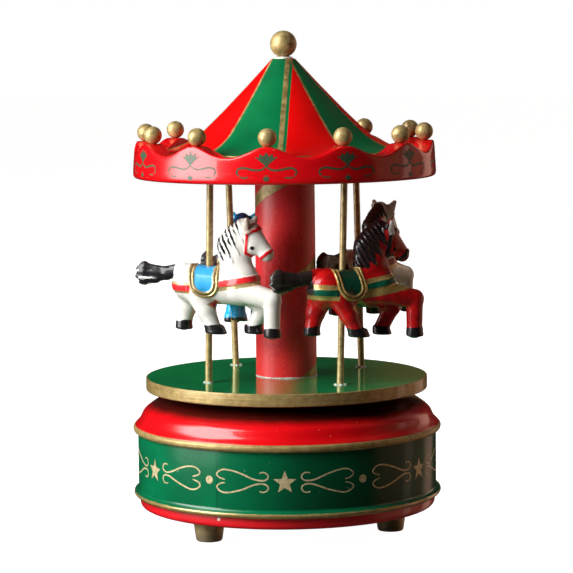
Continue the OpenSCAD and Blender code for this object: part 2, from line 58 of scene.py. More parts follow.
# ---- node trees
class Tree:
    """Builds a node tree with one short call a node."""

    def __init__(self, nt):
        self.nt = nt

    def put(self, socket, value):
        if isinstance(value, bpy.types.NodeSocket):
            self.nt.links.new(value, socket)
        elif hasattr(value, "__len__") and len(value) == 3 and socket.type == "RGBA":
            socket.default_value = (*value, 1)
        else:
            socket.default_value = value

    def add(self, kind, inputs, out=0, **props):
        n = self.nt.nodes.new("ShaderNode" + kind)
        for k, v in props.items():
            setattr(n, k, v)
        for k, v in inputs.items():
            self.put(n.inputs[k], v)
        return n.outputs[out]

    def m(self, op, a, b=0.0):
        return self.add("Math", {0: a, 1: b}, operation=op)

    def mul(self, a, b):
        return self.m("MULTIPLY", a, b)

    def plus(self, a, b):
        return self.m("ADD", a, b)

    def minus(self, a, b):
        return self.m("SUBTRACT", a, b)

    def abs(self, a):
        return self.m("ABSOLUTE", a)

    def mix(self, fac, a, b):
        return self.add("Mix", {0: fac, 6: a, 7: b}, out=2, data_type="RGBA")

    def coords(self):
        return self.add("TexCoord", {}, out=3)

    def xyz(self, vec):
        n = self.nt.nodes.new("ShaderNodeSeparateXYZ")
        self.put(n.inputs[0], vec)
        return n.outputs

    def vec(self, x, y, z):
        return self.add("CombineXYZ", {0: x, 1: y, 2: z})

    def noise(self, vec, scale, detail=3.0, rough=0.5):
        return self.add("TexNoise", {"Vector": vec, "Scale": scale, "Detail": detail,
                                     "Roughness": rough})

    def step(self, value, lo, hi, a=0.0, b=1.0):
        return self.add("MapRange", {0: value, 1: lo, 2: hi, 3: a, 4: b}, clamp=True,
                        interpolation_type="SMOOTHSTEP")

    def fall(self, value, lo, hi):
        return self.step(value, lo, hi, 1.0, 0.0)

    def attr(self, name):
        return self.add("Attribute", {}, out=2, attribute_name=name)

    def sway(self, noise, size):
        """A noise value as a shift of up to half of size either way."""
        return self.mul(self.minus(noise, 0.5), size)

    def drift(self, cloud, a, b, most=1.0):
        """Colour a, turning towards b where the cloud is thick."""
        return self.mix(self.step(cloud, 0.35, 0.7, 0.0, most), a, b)

    def azimuth(self, x, y):
        """Degrees from the front towards +X."""
        return self.mul(self.m("ARCTAN2", x, self.mul(y, -1.0)), 180 / math.pi)

    def round_coords(self):
        """(azimuth in degrees, radius, height) on a turned piece, in mm."""
        x, y, z = self.xyz(self.coords())
        r2 = self.plus(self.mul(x, x), self.mul(y, y))
        return self.azimuth(x, y), self.mul(self.m("SQRT", r2), 1000.0), self.mul(z, 1000.0)

    def streaks(self, az, r, z, along=0.03, across=2.2):
        """Fine lines that run round the piece, as a brush or lathe tool leaves."""
        v = self.vec(self.mul(az, along), self.mul(r, across), self.mul(z, across))
        return self.noise(v, 1.0, 4.0, 0.6)


class Paint(Tree):
    """A material with one Principled shader."""

    def __init__(self, name):
        self.mat = bpy.data.materials.new(name)
        self.mat.use_nodes = True
        super().__init__(self.mat.node_tree)
        self.nt.nodes.clear()
        out = self.nt.nodes.new("ShaderNodeOutputMaterial")
        self.bsdf = self.nt.nodes.new("ShaderNodeBsdfPrincipled")
        self.nt.links.new(self.bsdf.outputs[0], out.inputs[0])

    def bump(self, height, strength, distance):
        self.put(self.bsdf.inputs["Normal"],
                 self.add("Bump", {"Height": height, "Strength": strength,
                                   "Distance": distance}))

    def set(self, **kw):
        for k, v in kw.items():
            self.put(self.bsdf.inputs[k.replace("_", " ")], v)
        return self.mat


# ---- paints
def gold_on(t, pos, brushed=None):
    """(colour, roughness, height) of hand-laid metallic gold paint."""
    blot = t.noise(pos, 420.0, 5.0, 0.62)
    fine = t.noise(pos, 2600.0, 3.0, 0.6)
    k = t.step(t.plus(t.mul(blot, 0.7), t.mul(fine, 0.3)), 0.36, 0.62)
    if brushed is not None:
        k = t.plus(t.mul(k, 0.45), t.mul(t.step(brushed, 0.34, 0.66), 0.55))
    colour = t.mix(k, GOLD_DARK, GOLD)
    rough = t.plus(0.30, t.mul(fine, 0.24))
    return colour, rough, t.plus(t.mul(blot, 0.6), t.mul(fine, 0.4))


def gold_paint(name, brushed=False, dark_below=None, metal=GOLD_METAL, light=0.0):
    """Gold over a whole piece, darker towards the bottom between given heights; light lifts it as
    painted light.
    """
    t = Paint(name)
    pos = t.coords()
    lines = t.streaks(*t.round_coords(), 0.05, 3.4) if brushed else None
    colour, rough, height = gold_on(t, pos, lines)
    # Darker towards the bottom between the two given heights.
    if dark_below is not None:
        colour = t.mix(t.step(t.round_coords()[2], *dark_below), (0.12, 0.08, 0.035), colour)
    if brushed:
        height = t.plus(height, t.mul(lines, 1.2))
    t.bump(height, 0.55, 0.00025)
    # Painted light: light mixes the whole colour towards pale gold, for pieces that sit in shade.
    return t.set(Base_Color=t.mix(light, colour, (0.80, 0.68, 0.42)), Metallic=metal,
                 Roughness=rough, Coat_Weight=0.25, Coat_Roughness=0.18)


def lacquer(name, base, deep, joint=None, gold_below=None, chip=None, gloss=0.16, coat=0.8,
            painted_shade=None):
    """Sprayed gloss lacquer on turned wood: faint lathe lines, dust and a little ripple.

    joint is the azimuth of a board joint, drawn as a dark line; past it the lacquer is a step
    darker, and painted shade darkens it further round towards the right side. chip is the azimuth,
    height and size of a bare spot. The last argument is the height where painted shade starts and
    where it is darkest, standing for the shadow of the turntable above.
    """
    t = Paint(name)
    pos = t.coords()
    az, r, z = t.round_coords()
    cloud = t.noise(pos, 45.0, 4.0, 0.55)
    lines = t.streaks(az, r, z)
    dust = t.noise(pos, 3800.0, 2.0, 0.5)
    colour = t.drift(cloud, base, deep, 0.75)
    colour = t.mix(t.mul(t.step(lines, 0.5, 0.8), 0.22), colour, deep)
    if joint is not None:
        behind = t.fall(az, 110.0, 175.0)
        near = t.mul(t.step(az, joint - 0.25, joint + 0.25, 0.0, 0.45), behind)
        colour = t.mix(near, colour, deep)
        # Painted shade: from the joint round to the right side the wall darkens further, as that
        # side gets less light.
        far = t.mul(t.step(az, joint, joint + 42.0, 0.0, 0.6), behind)
        colour = t.mix(far, colour, (deep[0], deep[1] * 0.4, deep[2] * 0.4))
        seam = t.step(t.abs(t.minus(az, joint)), 0.0, 0.35, 0.6, 0.0)
        colour = t.mix(seam, colour, (deep[0] * 0.4, deep[1] * 0.4, deep[2] * 0.4))
    if chip is not None:
        at, up, size = chip
        across, over = t.mul(t.minus(az, at), WALL_MM_A_DEGREE), t.minus(z, up)
        d = t.m("SQRT", t.plus(t.mul(across, across), t.mul(over, over)))
        d = t.plus(d, t.mul(t.noise(pos, 900.0, 3.0, 0.6), 1.9))
        colour = t.mix(t.fall(d, size, size + 0.2), colour, (0.75, 0.60, 0.55))
    # Painted shade: the top of the piece darkens towards the turntable above it, as in its shadow.
    if painted_shade is not None:
        wave = t.plus(z, t.mul(t.noise(pos, 90.0, 3.0, 0.6), 1.2))
        colour = t.mix(t.mul(t.step(wave, *painted_shade), 0.93), colour, (0.016, 0.004, 0.002))
    specks = t.step(t.noise(pos, 1900.0, 1.0, 0.3), 0.80, 0.83)
    colour = t.mix(t.mul(specks, 0.6), colour, (0.8, 0.62, 0.55))
    rough = t.plus(gloss, t.mul(cloud, 0.16))
    ripple = t.plus(t.mul(dust, 0.12), t.mul(t.noise(pos, 260.0), 0.7))
    t.bump(t.plus(t.mul(lines, 0.6), ripple), 0.30, 0.00012)
    if gold_below is None:
        return t.set(Base_Color=colour, Roughness=rough, Specular_IOR_Level=0.2 + 0.375 * coat,
                     Coat_Weight=coat, Coat_Roughness=0.06)
    edge = t.plus(z, t.sway(t.noise(pos, 300.0), 0.5))
    k = t.fall(edge, gold_below, gold_below + 0.15)
    gold, _, _ = gold_on(t, pos, t.streaks(az, r, z, 0.05, 3.4))
    return t.set(Base_Color=t.mix(k, colour, gold), Metallic=t.mul(k, GOLD_METAL),
                 Roughness=rough, Coat_Weight=0.6, Coat_Roughness=0.08)


def turntable_paint():
    """Green top with a thin gold lip, a gold edge brushed round, and dark wood underneath."""
    t = Paint("turntable_paint")
    pos = t.coords()
    az, r, z = t.round_coords()
    cloud = t.noise(pos, 40.0, 4.0, 0.55)
    green = t.drift(cloud, (0.001, 0.22, 0.060), (0.001, 0.15, 0.042), 0.7)
    k = t.step(t.plus(r, t.sway(t.noise(pos, 220.0, 4.0, 0.6), 0.7)), 49.55, 49.75)
    lines = t.streaks(az, r, z, 0.035, 5.0)
    gold, _, _ = gold_on(t, pos, lines)
    colour = t.mix(t.step(z, TABLE_LOW + 0.25, TABLE_LOW + 0.1), t.mix(k, green, gold),
                   (0.05, 0.03, 0.015))
    t.bump(t.plus(t.mul(lines, t.mul(k, 2.0)), t.mul(t.noise(pos, 240.0), 0.4)), 0.5, 0.0002)
    return t.set(Base_Color=colour, Metallic=t.mul(k, GOLD_METAL),
                 Roughness=t.plus(0.13, t.mul(k, 0.25)), Coat_Weight=0.7, Coat_Roughness=0.08)


RIBBON_PITCH, RIBBON_PHASE, RIBBON_HALF = 37.7, 87.15, 2.3


def column_paint():
    """Satin red over a faintly pitted ground, with one gold ribbon painted up it by hand."""
    t = Paint("column_paint")
    pos = t.coords()
    az, r, z = t.round_coords()
    pits = t.noise(pos, 1500.0, 4.0, 0.65)
    ground = t.drift(t.noise(pos, 70.0, 3.0, 0.5), (0.74, 0.020, 0.024), (0.58, 0.011, 0.015))
    ground = t.mix(t.mul(t.step(pits, 0.52, 0.70), 0.5), ground, (0.80, 0.16, 0.15))
    climb = t.minus(z, t.mul(az, RIBBON_PITCH / 360))
    turn = t.m("DIVIDE", t.minus(climb, RIBBON_PHASE), RIBBON_PITCH)
    off = t.mul(t.abs(t.minus(turn, t.m("ROUND", turn))), RIBBON_PITCH)
    off = t.plus(off, t.sway(t.noise(pos, 260.0, 4.0, 0.6), 1.3))
    k = t.fall(off, RIBBON_HALF, RIBBON_HALF + 0.16)
    gold, _, gold_height = gold_on(t, pos)
    height = t.plus(t.mul(pits, 0.8), t.mul(t.mul(gold_height, k), 1.5))
    t.bump(t.plus(height, t.mul(k, 0.4)), 0.7, 0.00022)
    return t.set(Base_Color=t.mix(k, ground, gold), Metallic=t.mul(k, GOLD_METAL),
                 Roughness=t.plus(0.40, t.sway(pits, 0.3)), Coat_Weight=0.4, Coat_Roughness=0.26)


# Each seam's azimuth, how far it is shifted in mm, and how much further towards the tip
SEAMS = [(-84, 0, 0), (-39, 0, -2.5), (-3, 2.4, 1.6), (33, 0, 0), (69, 0, 0), (105, 0, 1.0),
         (141, 0, 0), (177, -1.0, 0), (213, 0, 1.5), (246, 0, 0)]
WIDE_SEAM, CONE_R, FIRST = -3, 43.0, 102.0


def cone_paint():
    """Ten stripes of red and green, each seam lined in gold by hand, one of them wide."""
    t = Paint("cone_paint")
    pos = t.coords()
    az, r, z = t.round_coords()
    wob = t.sway(t.noise(pos, 170.0, 4.0, 0.6), 0.5)
    turn = t.m("FLOORED_MODULO", t.plus(az, FIRST), 360.0)
    inner = t.minus(1.0, t.m("DIVIDE", r, CONE_R))
    inner = t.mul(inner, inner)
    count, line = 0.0, 0.0
    for seam, shift, top_shift in SEAMS:
        off = t.mul(t.mul(t.minus(turn, seam + FIRST), math.pi / 180), r)
        off = t.minus(off, t.plus(shift, t.mul(inner, top_shift)))
        count = t.plus(count, t.m("GREATER_THAN", off, 0.0))
        lead, half = (1.9, 0.85) if seam == WIDE_SEAM else (0.0, 0.42)
        off = t.minus(t.abs(t.plus(off, lead)), half)
        line = t.m("MAXIMUM", line, t.fall(t.plus(off, wob), -0.05, 0.06))
    cloud = t.noise(pos, 50.0, 3.0, 0.5)
    red = t.drift(cloud, (0.66, 0.002, 0.002), (0.54, 0.001, 0.001))
    green = t.drift(cloud, (0.002, 0.135, 0.042), (0.001, 0.09, 0.028))
    base = t.mix(t.m("FLOORED_MODULO", count, 2.0), green, red)
    k = t.m("MAXIMUM", line, t.step(t.plus(r, wob), CONE_R - 0.25, CONE_R - 0.15))
    gold, _, gold_height = gold_on(t, pos)
    streak = t.noise(t.vec(t.mul(az, 0.6), t.mul(r, 0.05), 0.0), 1.0, 3.0)
    relief = t.plus(t.mul(gold_height, 0.25), t.mul(streak, 0.25))
    t.bump(t.plus(t.mul(k, 0.6), relief), 0.4, 0.00014)
    return t.set(Base_Color=t.mix(k, base, gold), Metallic=t.mul(k, GOLD_METAL),
                 Roughness=t.plus(0.24, t.mul(cloud, 0.12)), Specular_IOR_Level=0.3,
                 Coat_Weight=0.12, Coat_Roughness=0.12)


def flat_paint(name, colour, dark, metal, rough):
    t = Paint(name)
    n = t.noise(t.coords(), 900.0, 4.0, 0.6)
    t.bump(n, 0.4, 0.0001)
    return t.set(Base_Color=t.mix(t.step(n, 0.3, 0.65), dark, colour), Metallic=metal,
                 Roughness=t.plus(rough - 0.1, t.mul(n, 0.2)))


def grainy(name, grain, relief, dark, light, between=None, **shader):
    """A plain surface whose colour and relief follow one noise; between sharpens its colour."""
    t = Paint(name)
    n = t.noise(t.coords(), *grain)
    t.bump(n, *relief)
    k = n if between is None else t.step(n, *between)
    return t.set(Base_Color=t.mix(k, dark, light), **shader)


def machine_metal(name, colour, dark, rough, lines):
    """Brushed or ground metal of the movement."""
    t = Paint(name)
    pos = t.coords()
    x, y, z = t.xyz(pos)
    grain = t.noise(t.vec(t.mul(x, lines), t.mul(y, 4000.0), t.mul(z, 4000.0)), 1.0, 3.0, 0.6)
    stain = t.noise(pos, 130.0, 4.0, 0.55)
    t.bump(grain, 0.25, 0.00005)
    return t.set(Base_Color=t.drift(stain, colour, dark), Metallic=1.0,
                 Roughness=t.plus(rough, t.mul(grain, 0.18)))


def fibreboard():
    t = Paint("fibreboard")
    pos = t.coords()
    n = t.noise(pos, 900.0, 5.0, 0.7)
    big = t.noise(pos, 90.0, 3.0, 0.5)
    t.bump(n, 0.6, 0.0003)
    return t.set(Base_Color=t.mix(t.mul(t.plus(n, big), 0.5), (0.20, 0.12, 0.06),
                                  (0.48, 0.33, 0.19)), Roughness=0.85)


# ---- meshes
def unit(a):
    return np.clip(a, 0, 1)


def piece(name, verts, faces, mat, body, nodes=(), sharp=35, attrs=None):
    me = bpy.data.meshes.new(name)
    me.from_pydata((np.asarray(verts, float) * MM).tolist(), [], faces)
    for key, values in (attrs or {}).items():
        a = me.attributes.new(key, "FLOAT", "POINT")
        a.data.foreach_set("value", np.asarray(values, np.float32))
    me.update()
    me.polygons.foreach_set("use_smooth", [True] * len(me.polygons))
    me.set_sharp_from_angle(angle=math.radians(sharp))
    me.materials.append(mat)
    o = bpy.data.objects.new(name, me)
    bpy.context.scene.collection.objects.link(o)
    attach(o, body)
    if nodes:
        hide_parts(*nodes)
    return o


def rounded(corners, n=6, closed=False):
    """Corner list (radius from axis, height, rounding) to points with eased corners."""
    out, m = [], len(corners)
    for i, (x, z, r) in enumerate(corners):
        p = np.array([x, z], float)
        if r <= 0 or (not closed and i in (0, m - 1)):
            out.append(p)
            continue
        a = np.array(corners[i - 1][:2]) - p
        b = np.array(corners[(i + 1) % m][:2]) - p
        la, lb = np.linalg.norm(a), np.linalg.norm(b)
        ta, tb = min(r, 0.49 * la) / la, min(r, 0.49 * lb) / lb
        for u in np.linspace(0, 1, n + 1):
            out.append((1 - u) ** 2 * (p + a * ta) + 2 * u * (1 - u) * p + u * u * (p + b * tb))
    return np.array(out)


def curve(points, n=8):
    """Catmull-Rom through the points."""
    p = np.array(points, float)
    p = np.vstack([2 * p[0] - p[1], p, 2 * p[-1] - p[-2]])
    out = []
    for i in range(1, len(p) - 2):
        for u in np.arange(n) / n:
            out.append(0.5 * (2 * p[i] + (p[i + 1] - p[i - 1]) * u
                              + (2 * p[i - 1] - 5 * p[i] + 4 * p[i + 1] - p[i + 2]) * u * u
                              + (3 * p[i] - p[i - 1] - 3 * p[i + 1] + p[i + 2]) * u ** 3))
    out.append(p[-2])
    return np.array(out)


def angles(n):
    return np.linspace(0, 2 * np.pi, n, endpoint=False)


def skin(rows, segs, closed=True):
    """Quads over rows of segs points that run round; closed joins the last row to the first."""
    return [(i * segs + s, i * segs + (s + 1) % segs, (i + 1) % rows * segs + (s + 1) % segs,
             (i + 1) % rows * segs + s)
            for i in range(rows if closed else rows - 1) for s in range(segs)]


def lathe(profile, segs=240, centre=(0, 0), ripple=None):
    """Turns a profile. One that starts and ends on the axis is a solid, any other is a ring."""
    p = np.asarray(profile, float)
    solid = p[0, 0] < 1e-6 and p[-1, 0] < 1e-6
    body = p[1:-1] if solid else p
    a = angles(segs)
    rad = np.repeat(body[:, 0][:, None], segs, 1)
    if ripple is not None:
        rad = rad + ripple(a[None, :], body[:, 1][:, None])
    v = np.stack([rad * np.cos(a) + centre[0], rad * np.sin(a) + centre[1],
                  np.repeat(body[:, 1][:, None], segs, 1)], -1).reshape(-1, 3)
    k = len(body)
    faces = skin(k, segs, not solid)
    if solid:
        v = np.vstack([v, [centre[0], centre[1], p[0, 1]], [centre[0], centre[1], p[-1, 1]]])
        first, last = len(v) - 2, len(v) - 1
        for s in range(segs):
            t = (s + 1) % segs
            faces += [(first, t, s), (last, (k - 1) * segs + s, (k - 1) * segs + t)]
    return v, faces


def on_circle(r, az):
    a = math.radians(az)
    return np.array([r * math.sin(a), -r * math.cos(a)])


class Plates:
    """Collects thin closed plates of paint that lie on a curved wall."""

    def __init__(self, radius_at, lift=0.045, sink=-0.05):
        self.v, self.f, self.n = [], [], 0
        self.radius_at, self.lift, self.sink = radius_at, lift, sink

    def wrap(self, plan, lift):
        """Points of a plan, in mm round the wall and mm high, at a lift outside the wall."""
        a, h = plan[:, 0] / WALL_R, plan[:, 1]
        r = self.radius_at(h) + lift
        return np.stack([r * np.sin(a), -r * np.cos(a), h], -1)

    def _push(self, verts, faces):
        self.v.append(verts)
        self.f += [tuple(i + self.n for i in f) for f in faces]
        self.n += len(verts)

    def blob(self, centre, edge):
        """A filled shape that can be seen whole from its centre."""
        c, e = np.array(centre, float), np.array(edge, float)
        m, shares = len(e), (0.3, 0.65, 1.0)
        plan = np.vstack([c[None]] + [c + (e - c) * q for q in shares])
        k, faces = len(plan), []
        for i in range(m):
            j = (i + 1) % m
            faces.append((0, 1 + i, 1 + j))
            faces.append((k, k + 1 + j, k + 1 + i))
            for q in range(len(shares) - 1):
                a, b = 1 + q * m, 1 + (q + 1) * m
                faces.append((a + i, b + i, b + j, a + j))
                faces.append((k + a + i, k + a + j, k + b + j, k + b + i))
            z = 1 + (len(shares) - 1) * m
            faces.append((z + i, k + z + i, k + z + j, z + j))
        self._push(np.vstack([self.wrap(plan, self.lift), self.wrap(plan, self.sink)]), faces)

    def dot(self, centre, half_w, half_h, n):
        a = angles(n)
        self.blob(centre, np.stack([centre[0] + half_w * np.cos(a),
                                    centre[1] + half_h * np.sin(a)], -1))

    def stroke(self, path, width):
        """A brushed line; width gives its half width along the way from 0 to 1."""
        p = curve(path, 7)
        d = np.gradient(p, axis=0)
        d /= np.linalg.norm(d, axis=1)[:, None] + 1e-9
        nrm = np.stack([-d[:, 1], d[:, 0]], -1)
        u = np.linspace(0, 1, len(p))
        ends = np.sqrt(np.clip(1 - (1 - np.minimum(1, np.minimum(u, 1 - u) / 0.03)) ** 2, 0.04, 1))
        w = (width(u) * ends)[:, None]
        a, b = p + nrm * w, p - nrm * w
        sides = ((a, self.lift), (b, self.lift), (b, self.sink), (a, self.sink))
        rows = np.stack([self.wrap(p, lift) for p, lift in sides], 1).reshape(-1, 3)
        faces = [(0, 1, 2, 3), tuple(4 * (len(a) - 1) + i for i in (3, 2, 1, 0))]
        for i in range(len(a) - 1):
            for c in range(4):
                e = (c + 1) % 4
                faces.append((4 * i + c, 4 * i + 4 + c, 4 * i + 4 + e, 4 * i + e))
        self._push(rows, faces)

    def make(self, name, mat, body):
        return piece(name, np.vstack(self.v), self.f, mat, body, sharp=50)


# ---- base
# The shoulder's top band carries painted shade under the turntable.
red = lacquer("red_lacquer", RED, RED_DEEP, painted_shade=(43.7, 46.4))
band_red = lacquer("red_band_lacquer", (0.62, 0.006, 0.012), (0.44, 0.003, 0.007),
                   chip=(-26.6, 11.3, 1.35), gloss=0.3)
rim_red = lacquer("rim_lacquer", RED, RED_DEEP)
# The drum wall has a board joint, with painted shade on its right side.
wall_green = lacquer("wall_lacquer", GREEN, GREEN_DEEP, joint=-27.0, coat=0.12)
mould_mat = lacquer("lower_moulding_paint", GREEN, GREEN_DEEP, gold_below=14.15)
gold_brushed = gold_paint("gold_moulding_paint", brushed=True)
# The ball, foot and pole copies are lifted by painted light, the foot most as it sits in shade.
gold_ball = gold_paint("gold_ball_paint", metal=0.45, light=0.08)
gold_foot = gold_paint("gold_foot_paint", dark_below=(1.0, 5.0), light=0.3)
gold_pole = gold_paint("gold_pole_paint", metal=0.55, light=0.15)

v, f = lathe(rounded([(28.5, 10.2, 0.2), (32.2, 10.2, 0), (32.2, 8.4, 0.3), (52.8, 8.4, 2.0),
                      (52.8, 12.2, 0.15), (28.5, 12.2, 0.2)], 6, True))
piece("bottom_board_shape", v, f, band_red, "base", ["bottom_board"])
v, f = lathe(np.vstack([
    [[46.5, 15.5], [46.5, 12.2], [53.2, 12.2]],
    curve([(53.5, 12.25), (54.3, 12.6), (54.85, 13.2), (54.95, 13.75), (54.7, 14.25),
           (54.15, 14.5)], 5),
    curve([(54.05, 14.55), (53.72, 14.75), (53.5, 15.05), (53.4, 15.5)], 4)]))
piece("lower_moulding_bead", v, f, mould_mat, "base", ["lower_moulding"])
v, f = lathe(rounded([(49.8, 15.5, 0.2), (WALL_R, 15.5, 0.1), (WALL_R, 35.0, 0.1),
                      (49.8, 35.0, 0.2)], 3, True), 360)
piece("drum_wall_band", v, f, wall_green, "base", ["drum_wall"])
v, f = lathe(np.vstack([
    [[47.5, 37.8], [47.5, 35.0], [53.35, 35.0]],
    curve([(53.6, 35.05), (54.35, 35.35), (54.85, 35.9), (55.0, 36.6), (54.88, 37.2),
           (54.5, 37.65), (54.3, 37.8)], 5)]))
piece("upper_moulding_bead", v, f, gold_brushed, "base", ["upper_moulding"])
v, f = lathe(np.vstack([
    [[11.5, 48.0], [11.5, 42.0], [46.5, 42.0], [46.5, 37.8], [54.3, 37.8]],
    curve([(54.25, 37.95), (53.7, 38.5), (53.05, 39.15), (52.6, 39.75), (52.3, 40.3), (52.02, 40.9),
           (51.75, 41.5), (51.5, 42.05), (51.1, 42.6), (50.55, 43.15), (49.9, 43.7), (49.15, 44.25),
           (48.3, 44.85), (47.3, 45.5), (46.2, 46.1), (45.0, 46.65), (43.7, 47.15), (42.4, 47.55),
           (41.0, 47.85), (39.5, 48.0)], 5)]), 300)
piece("shoulder_ogee", v, f, red, "base", ["shoulder_board"])
for i, az in enumerate((-46.4, 73.6, 193.6)):
    c = on_circle(38.0, az)
    v, f = lathe(np.vstack([
        [[0, 0]], rounded([(3.4, 0, 0), (4.55, 0, 0.9), (5.0, 3.2, 0.8), (5.7, 8.4, 0.1),
                           (2.0, 8.4, 0), (2.0, 10.8, 0)], 6), [[0, 10.8]]]), 96, c)
    piece(f"foot_{i + 1}_turned", v, f, gold_foot, "base", [f"foot_{i + 1}"])

# Pale gold paint on the wall: stars, dots and open-heart scrolls
SCROLL = [(8.7, 3.05), (7.8, 3.38), (6.7, 3.25), (5.9, 2.65), (5.65, 1.95), (5.95, 1.2), (6.7, 0.7),
          (7.8, 0.56), (9.5, 0.72), (11.6, 1.38), (14.5, 2.55), (17.4, 3.45), (19.6, 3.92),
          (21.5, 3.95), (23.0, 3.4), (24.0, 2.45), (23.9, 1.75), (23.2, 1.2), (22.2, 0.8),
          (20.9, 0.52)]
BAND_Z, SIXTH = 25.0, 2 * math.pi * WALL_R / 6
RNG = np.random.default_rng(11)
band = Plates(lambda h: WALL_R + 0 * h)
for k in range(6):
    s0 = k * SIXTH - (0.9 if k in (0, 1) else 0.0)
    tips = []
    spin = RNG.normal(0, 0.04)
    for i in range(10):
        a = math.pi / 2 + spin + i * math.pi / 5
        r = 4.05 * (1 + RNG.normal(0, 0.02)) if i % 2 == 0 else 1.72
        tips.append((s0 + r * math.cos(a), BAND_Z - 0.1 + r * math.sin(a)))
    edge = [np.array(tips[i]) * (1 - q) + np.array(tips[(i + 1) % 10]) * q
            for i in range(10) for q in (0, 0.25, 0.5, 0.75)]
    band.blob((s0, BAND_Z - 0.1), edge)
    band.dot(((k + 0.5) * SIXTH - (1.1 if k == 0 else 0.0), BAND_Z), 1.38, 1.42, 28)
    for side in (1, -1):
        for up in (1, -1):
            path = [(s0 + side * x, BAND_Z + up * y + RNG.normal(0, 0.04)) for x, y in SCROLL]
            band.stroke(path, lambda u: 0.21 + 0.07 * np.sin(np.pi * u))
motif_gold = flat_paint("pale_gold_paint", (0.62, 0.52, 0.30), (0.36, 0.29, 0.15), 0.35, 0.42)
band.make("band_motifs", motif_gold, "base")

# ---- carousel
v, f = lathe(np.vstack([
    [[0, TABLE_LOW]],
    rounded([(49.9, TABLE_LOW, 0), (50.2, 50.4, 0.25), (50.2, TABLE_TOP, 0.35),
             (49.3, TABLE_TOP, 0)], 5),
    [[30.0, TABLE_TOP], [0, TABLE_TOP]]]), 300)
piece("turntable_disc", v, f, turntable_paint(), "carousel", ["turntable"])
v, f = lathe(np.vstack([
    [[0, 51.1], [5.98, 51.1], [5.98, TABLE_TOP]],
    rounded([(10.5, TABLE_TOP, 0), (10.87, 54.65, 0.2), (10.6, CANOPY_Z, 0)], 4),
    [[5.98, CANOPY_Z], [5.98, 129.6], [0, 129.6]]]), 160,
    ripple=lambda a, z: np.where(z > 54.65, 0.03 * np.sin(3 * a + 0.05 * z), 0.0))
piece("column_post", v, f, column_paint(), "carousel", ["column"])

POLE_R = 1.18


def pole_at(k, z):
    """Where pole k's middle is at a height: the canopy is set a few degrees round from the table."""
    low, high = on_circle(33.05, 34.25 + 90 * k), on_circle(33.05, 38.45 + 90 * k)
    return low + (high - low) * (z - TABLE_TOP) / (CANOPY_Z - TABLE_TOP)


def pole_rod(k, segs=32):
    rings, zs, a = [], np.linspace(TABLE_TOP - 2.3, CANOPY_Z + 2.3, 40), angles(segs)
    for z in zs:
        c, r = pole_at(k, z), POLE_R + 0.012 * math.sin(z * 0.9 + k)
        rings.append(np.stack([c[0] + r * np.cos(a), c[1] + r * np.sin(a), np.full(segs, z)], -1))
    caps = [tuple(reversed(range(segs))), tuple((len(zs) - 1) * segs + s for s in range(segs))]
    return np.vstack(rings), skin(len(zs), segs, closed=False) + caps


def glue_ring(name, centre, r_in, width, seed, tall=0.35):
    """A thin uneven bead of dried glue round a foot."""
    rng = np.random.default_rng(seed)
    ph = rng.uniform(0, 6.28, 5)
    segs, cross = 72, 8
    a = angles(segs)
    lump = 1 + sum(rng.uniform(0.1, 0.3) * np.sin((i + 2) * a + ph[i]) for i in range(5))
    w = width * np.clip(lump, 0.25, 2.0)
    v = []
    for j in range(cross):
        t = 2 * math.pi * j / cross
        rad = r_in + w * (0.5 + 0.5 * math.cos(t))
        z = TABLE_TOP + np.clip(math.sin(t), -0.3, 1) * tall * np.clip(lump, 0.3, 1.5)
        v.append(np.stack([centre[0] + rad * np.cos(a), centre[1] + rad * np.sin(a), z], -1))
    piece(name, np.vstack(v), skin(cross, segs), glue, "carousel")


for k in range(4):
    v, f = pole_rod(k)
    piece(f"pole_{k + 1}_rod", v, f, gold_pole, "carousel", [f"pole_{k + 1}"])
glue = grainy("dried_glue", (1100.0, 4.0, 0.6), (0.6, 0.0002), (0.16, 0.24, 0.17),
              (0.62, 0.64, 0.58), (0.35, 0.65), Roughness=0.35, Coat_Weight=0.3)
for k in range(4):
    glue_ring(f"glue_pole_{k + 1}", pole_at(k, TABLE_TOP), 1.1, 0.85, 20 + k)
glue_ring("glue_column", (0, 0), 10.75, 0.45, 31, 0.3)

# Canopy rim: a ring whose top rises to twelve peaks
RIM_AZ, PEAK, VALLEY = -6.6, 138.3, 134.65


def rim_top(az):
    """Height of the rim at an azimuth in degrees: flat peaks, ogee flanks, round valleys."""
    u = np.abs((az - RIM_AZ + 15) % 30 - 15) * math.pi / 180 * 50.5
    q = unit((u - 1.0) / (13.22 - 1.0)) ** 0.8
    return PEAK - (PEAK - VALLEY) * (1 - np.cos(np.pi * q)) / 2


def rim_out(z):
    return 53.65 - 0.062 * np.maximum(0, z - 127.7)


def canopy_rim():
    segs, rows = 720, []
    az = np.arange(segs) * 360 / segs
    top = rim_top(az)
    one = np.ones(segs)

    def row(r, z):
        rows.append(np.stack([r * np.sin(np.radians(az)), -r * np.cos(np.radians(az)), z], -1))

    row(2.0 * one, CANOPY_Z * one)
    for r, z in rounded([(44, CANOPY_Z, 0), (53.62, CANOPY_Z, 1.7), (53.65, 128.6, 0)], 7):
        row(r * one, z * one)
    for q in (0.0, 0.25, 0.5, 0.75, 1.0):
        z = 129.2 + (top - 0.85 - 129.2) * q
        row(rim_out(z), z)
    for t in np.linspace(0.12, 1, 7):
        c = t * math.pi / 2
        row(rim_out(top) - 0.8 + 0.8 * math.cos(c) * one, top - 0.8 + 0.8 * math.sin(c))
    row(49.3 * one, top + 0.02)
    for t in np.linspace(0, 1, 6):
        c = t * math.pi / 2
        row((47.3 - 1.2 * math.sin(c)) * one, top - 1.2 + 1.2 * math.cos(c))
    row(44.6 * one, 133.0 + (top - 133.0) * 0.3)
    row(43.6 * one, 133.0 * one)
    row(2.0 * one, 133.0 * one)
    return np.vstack(rows), skin(len(rows), segs)


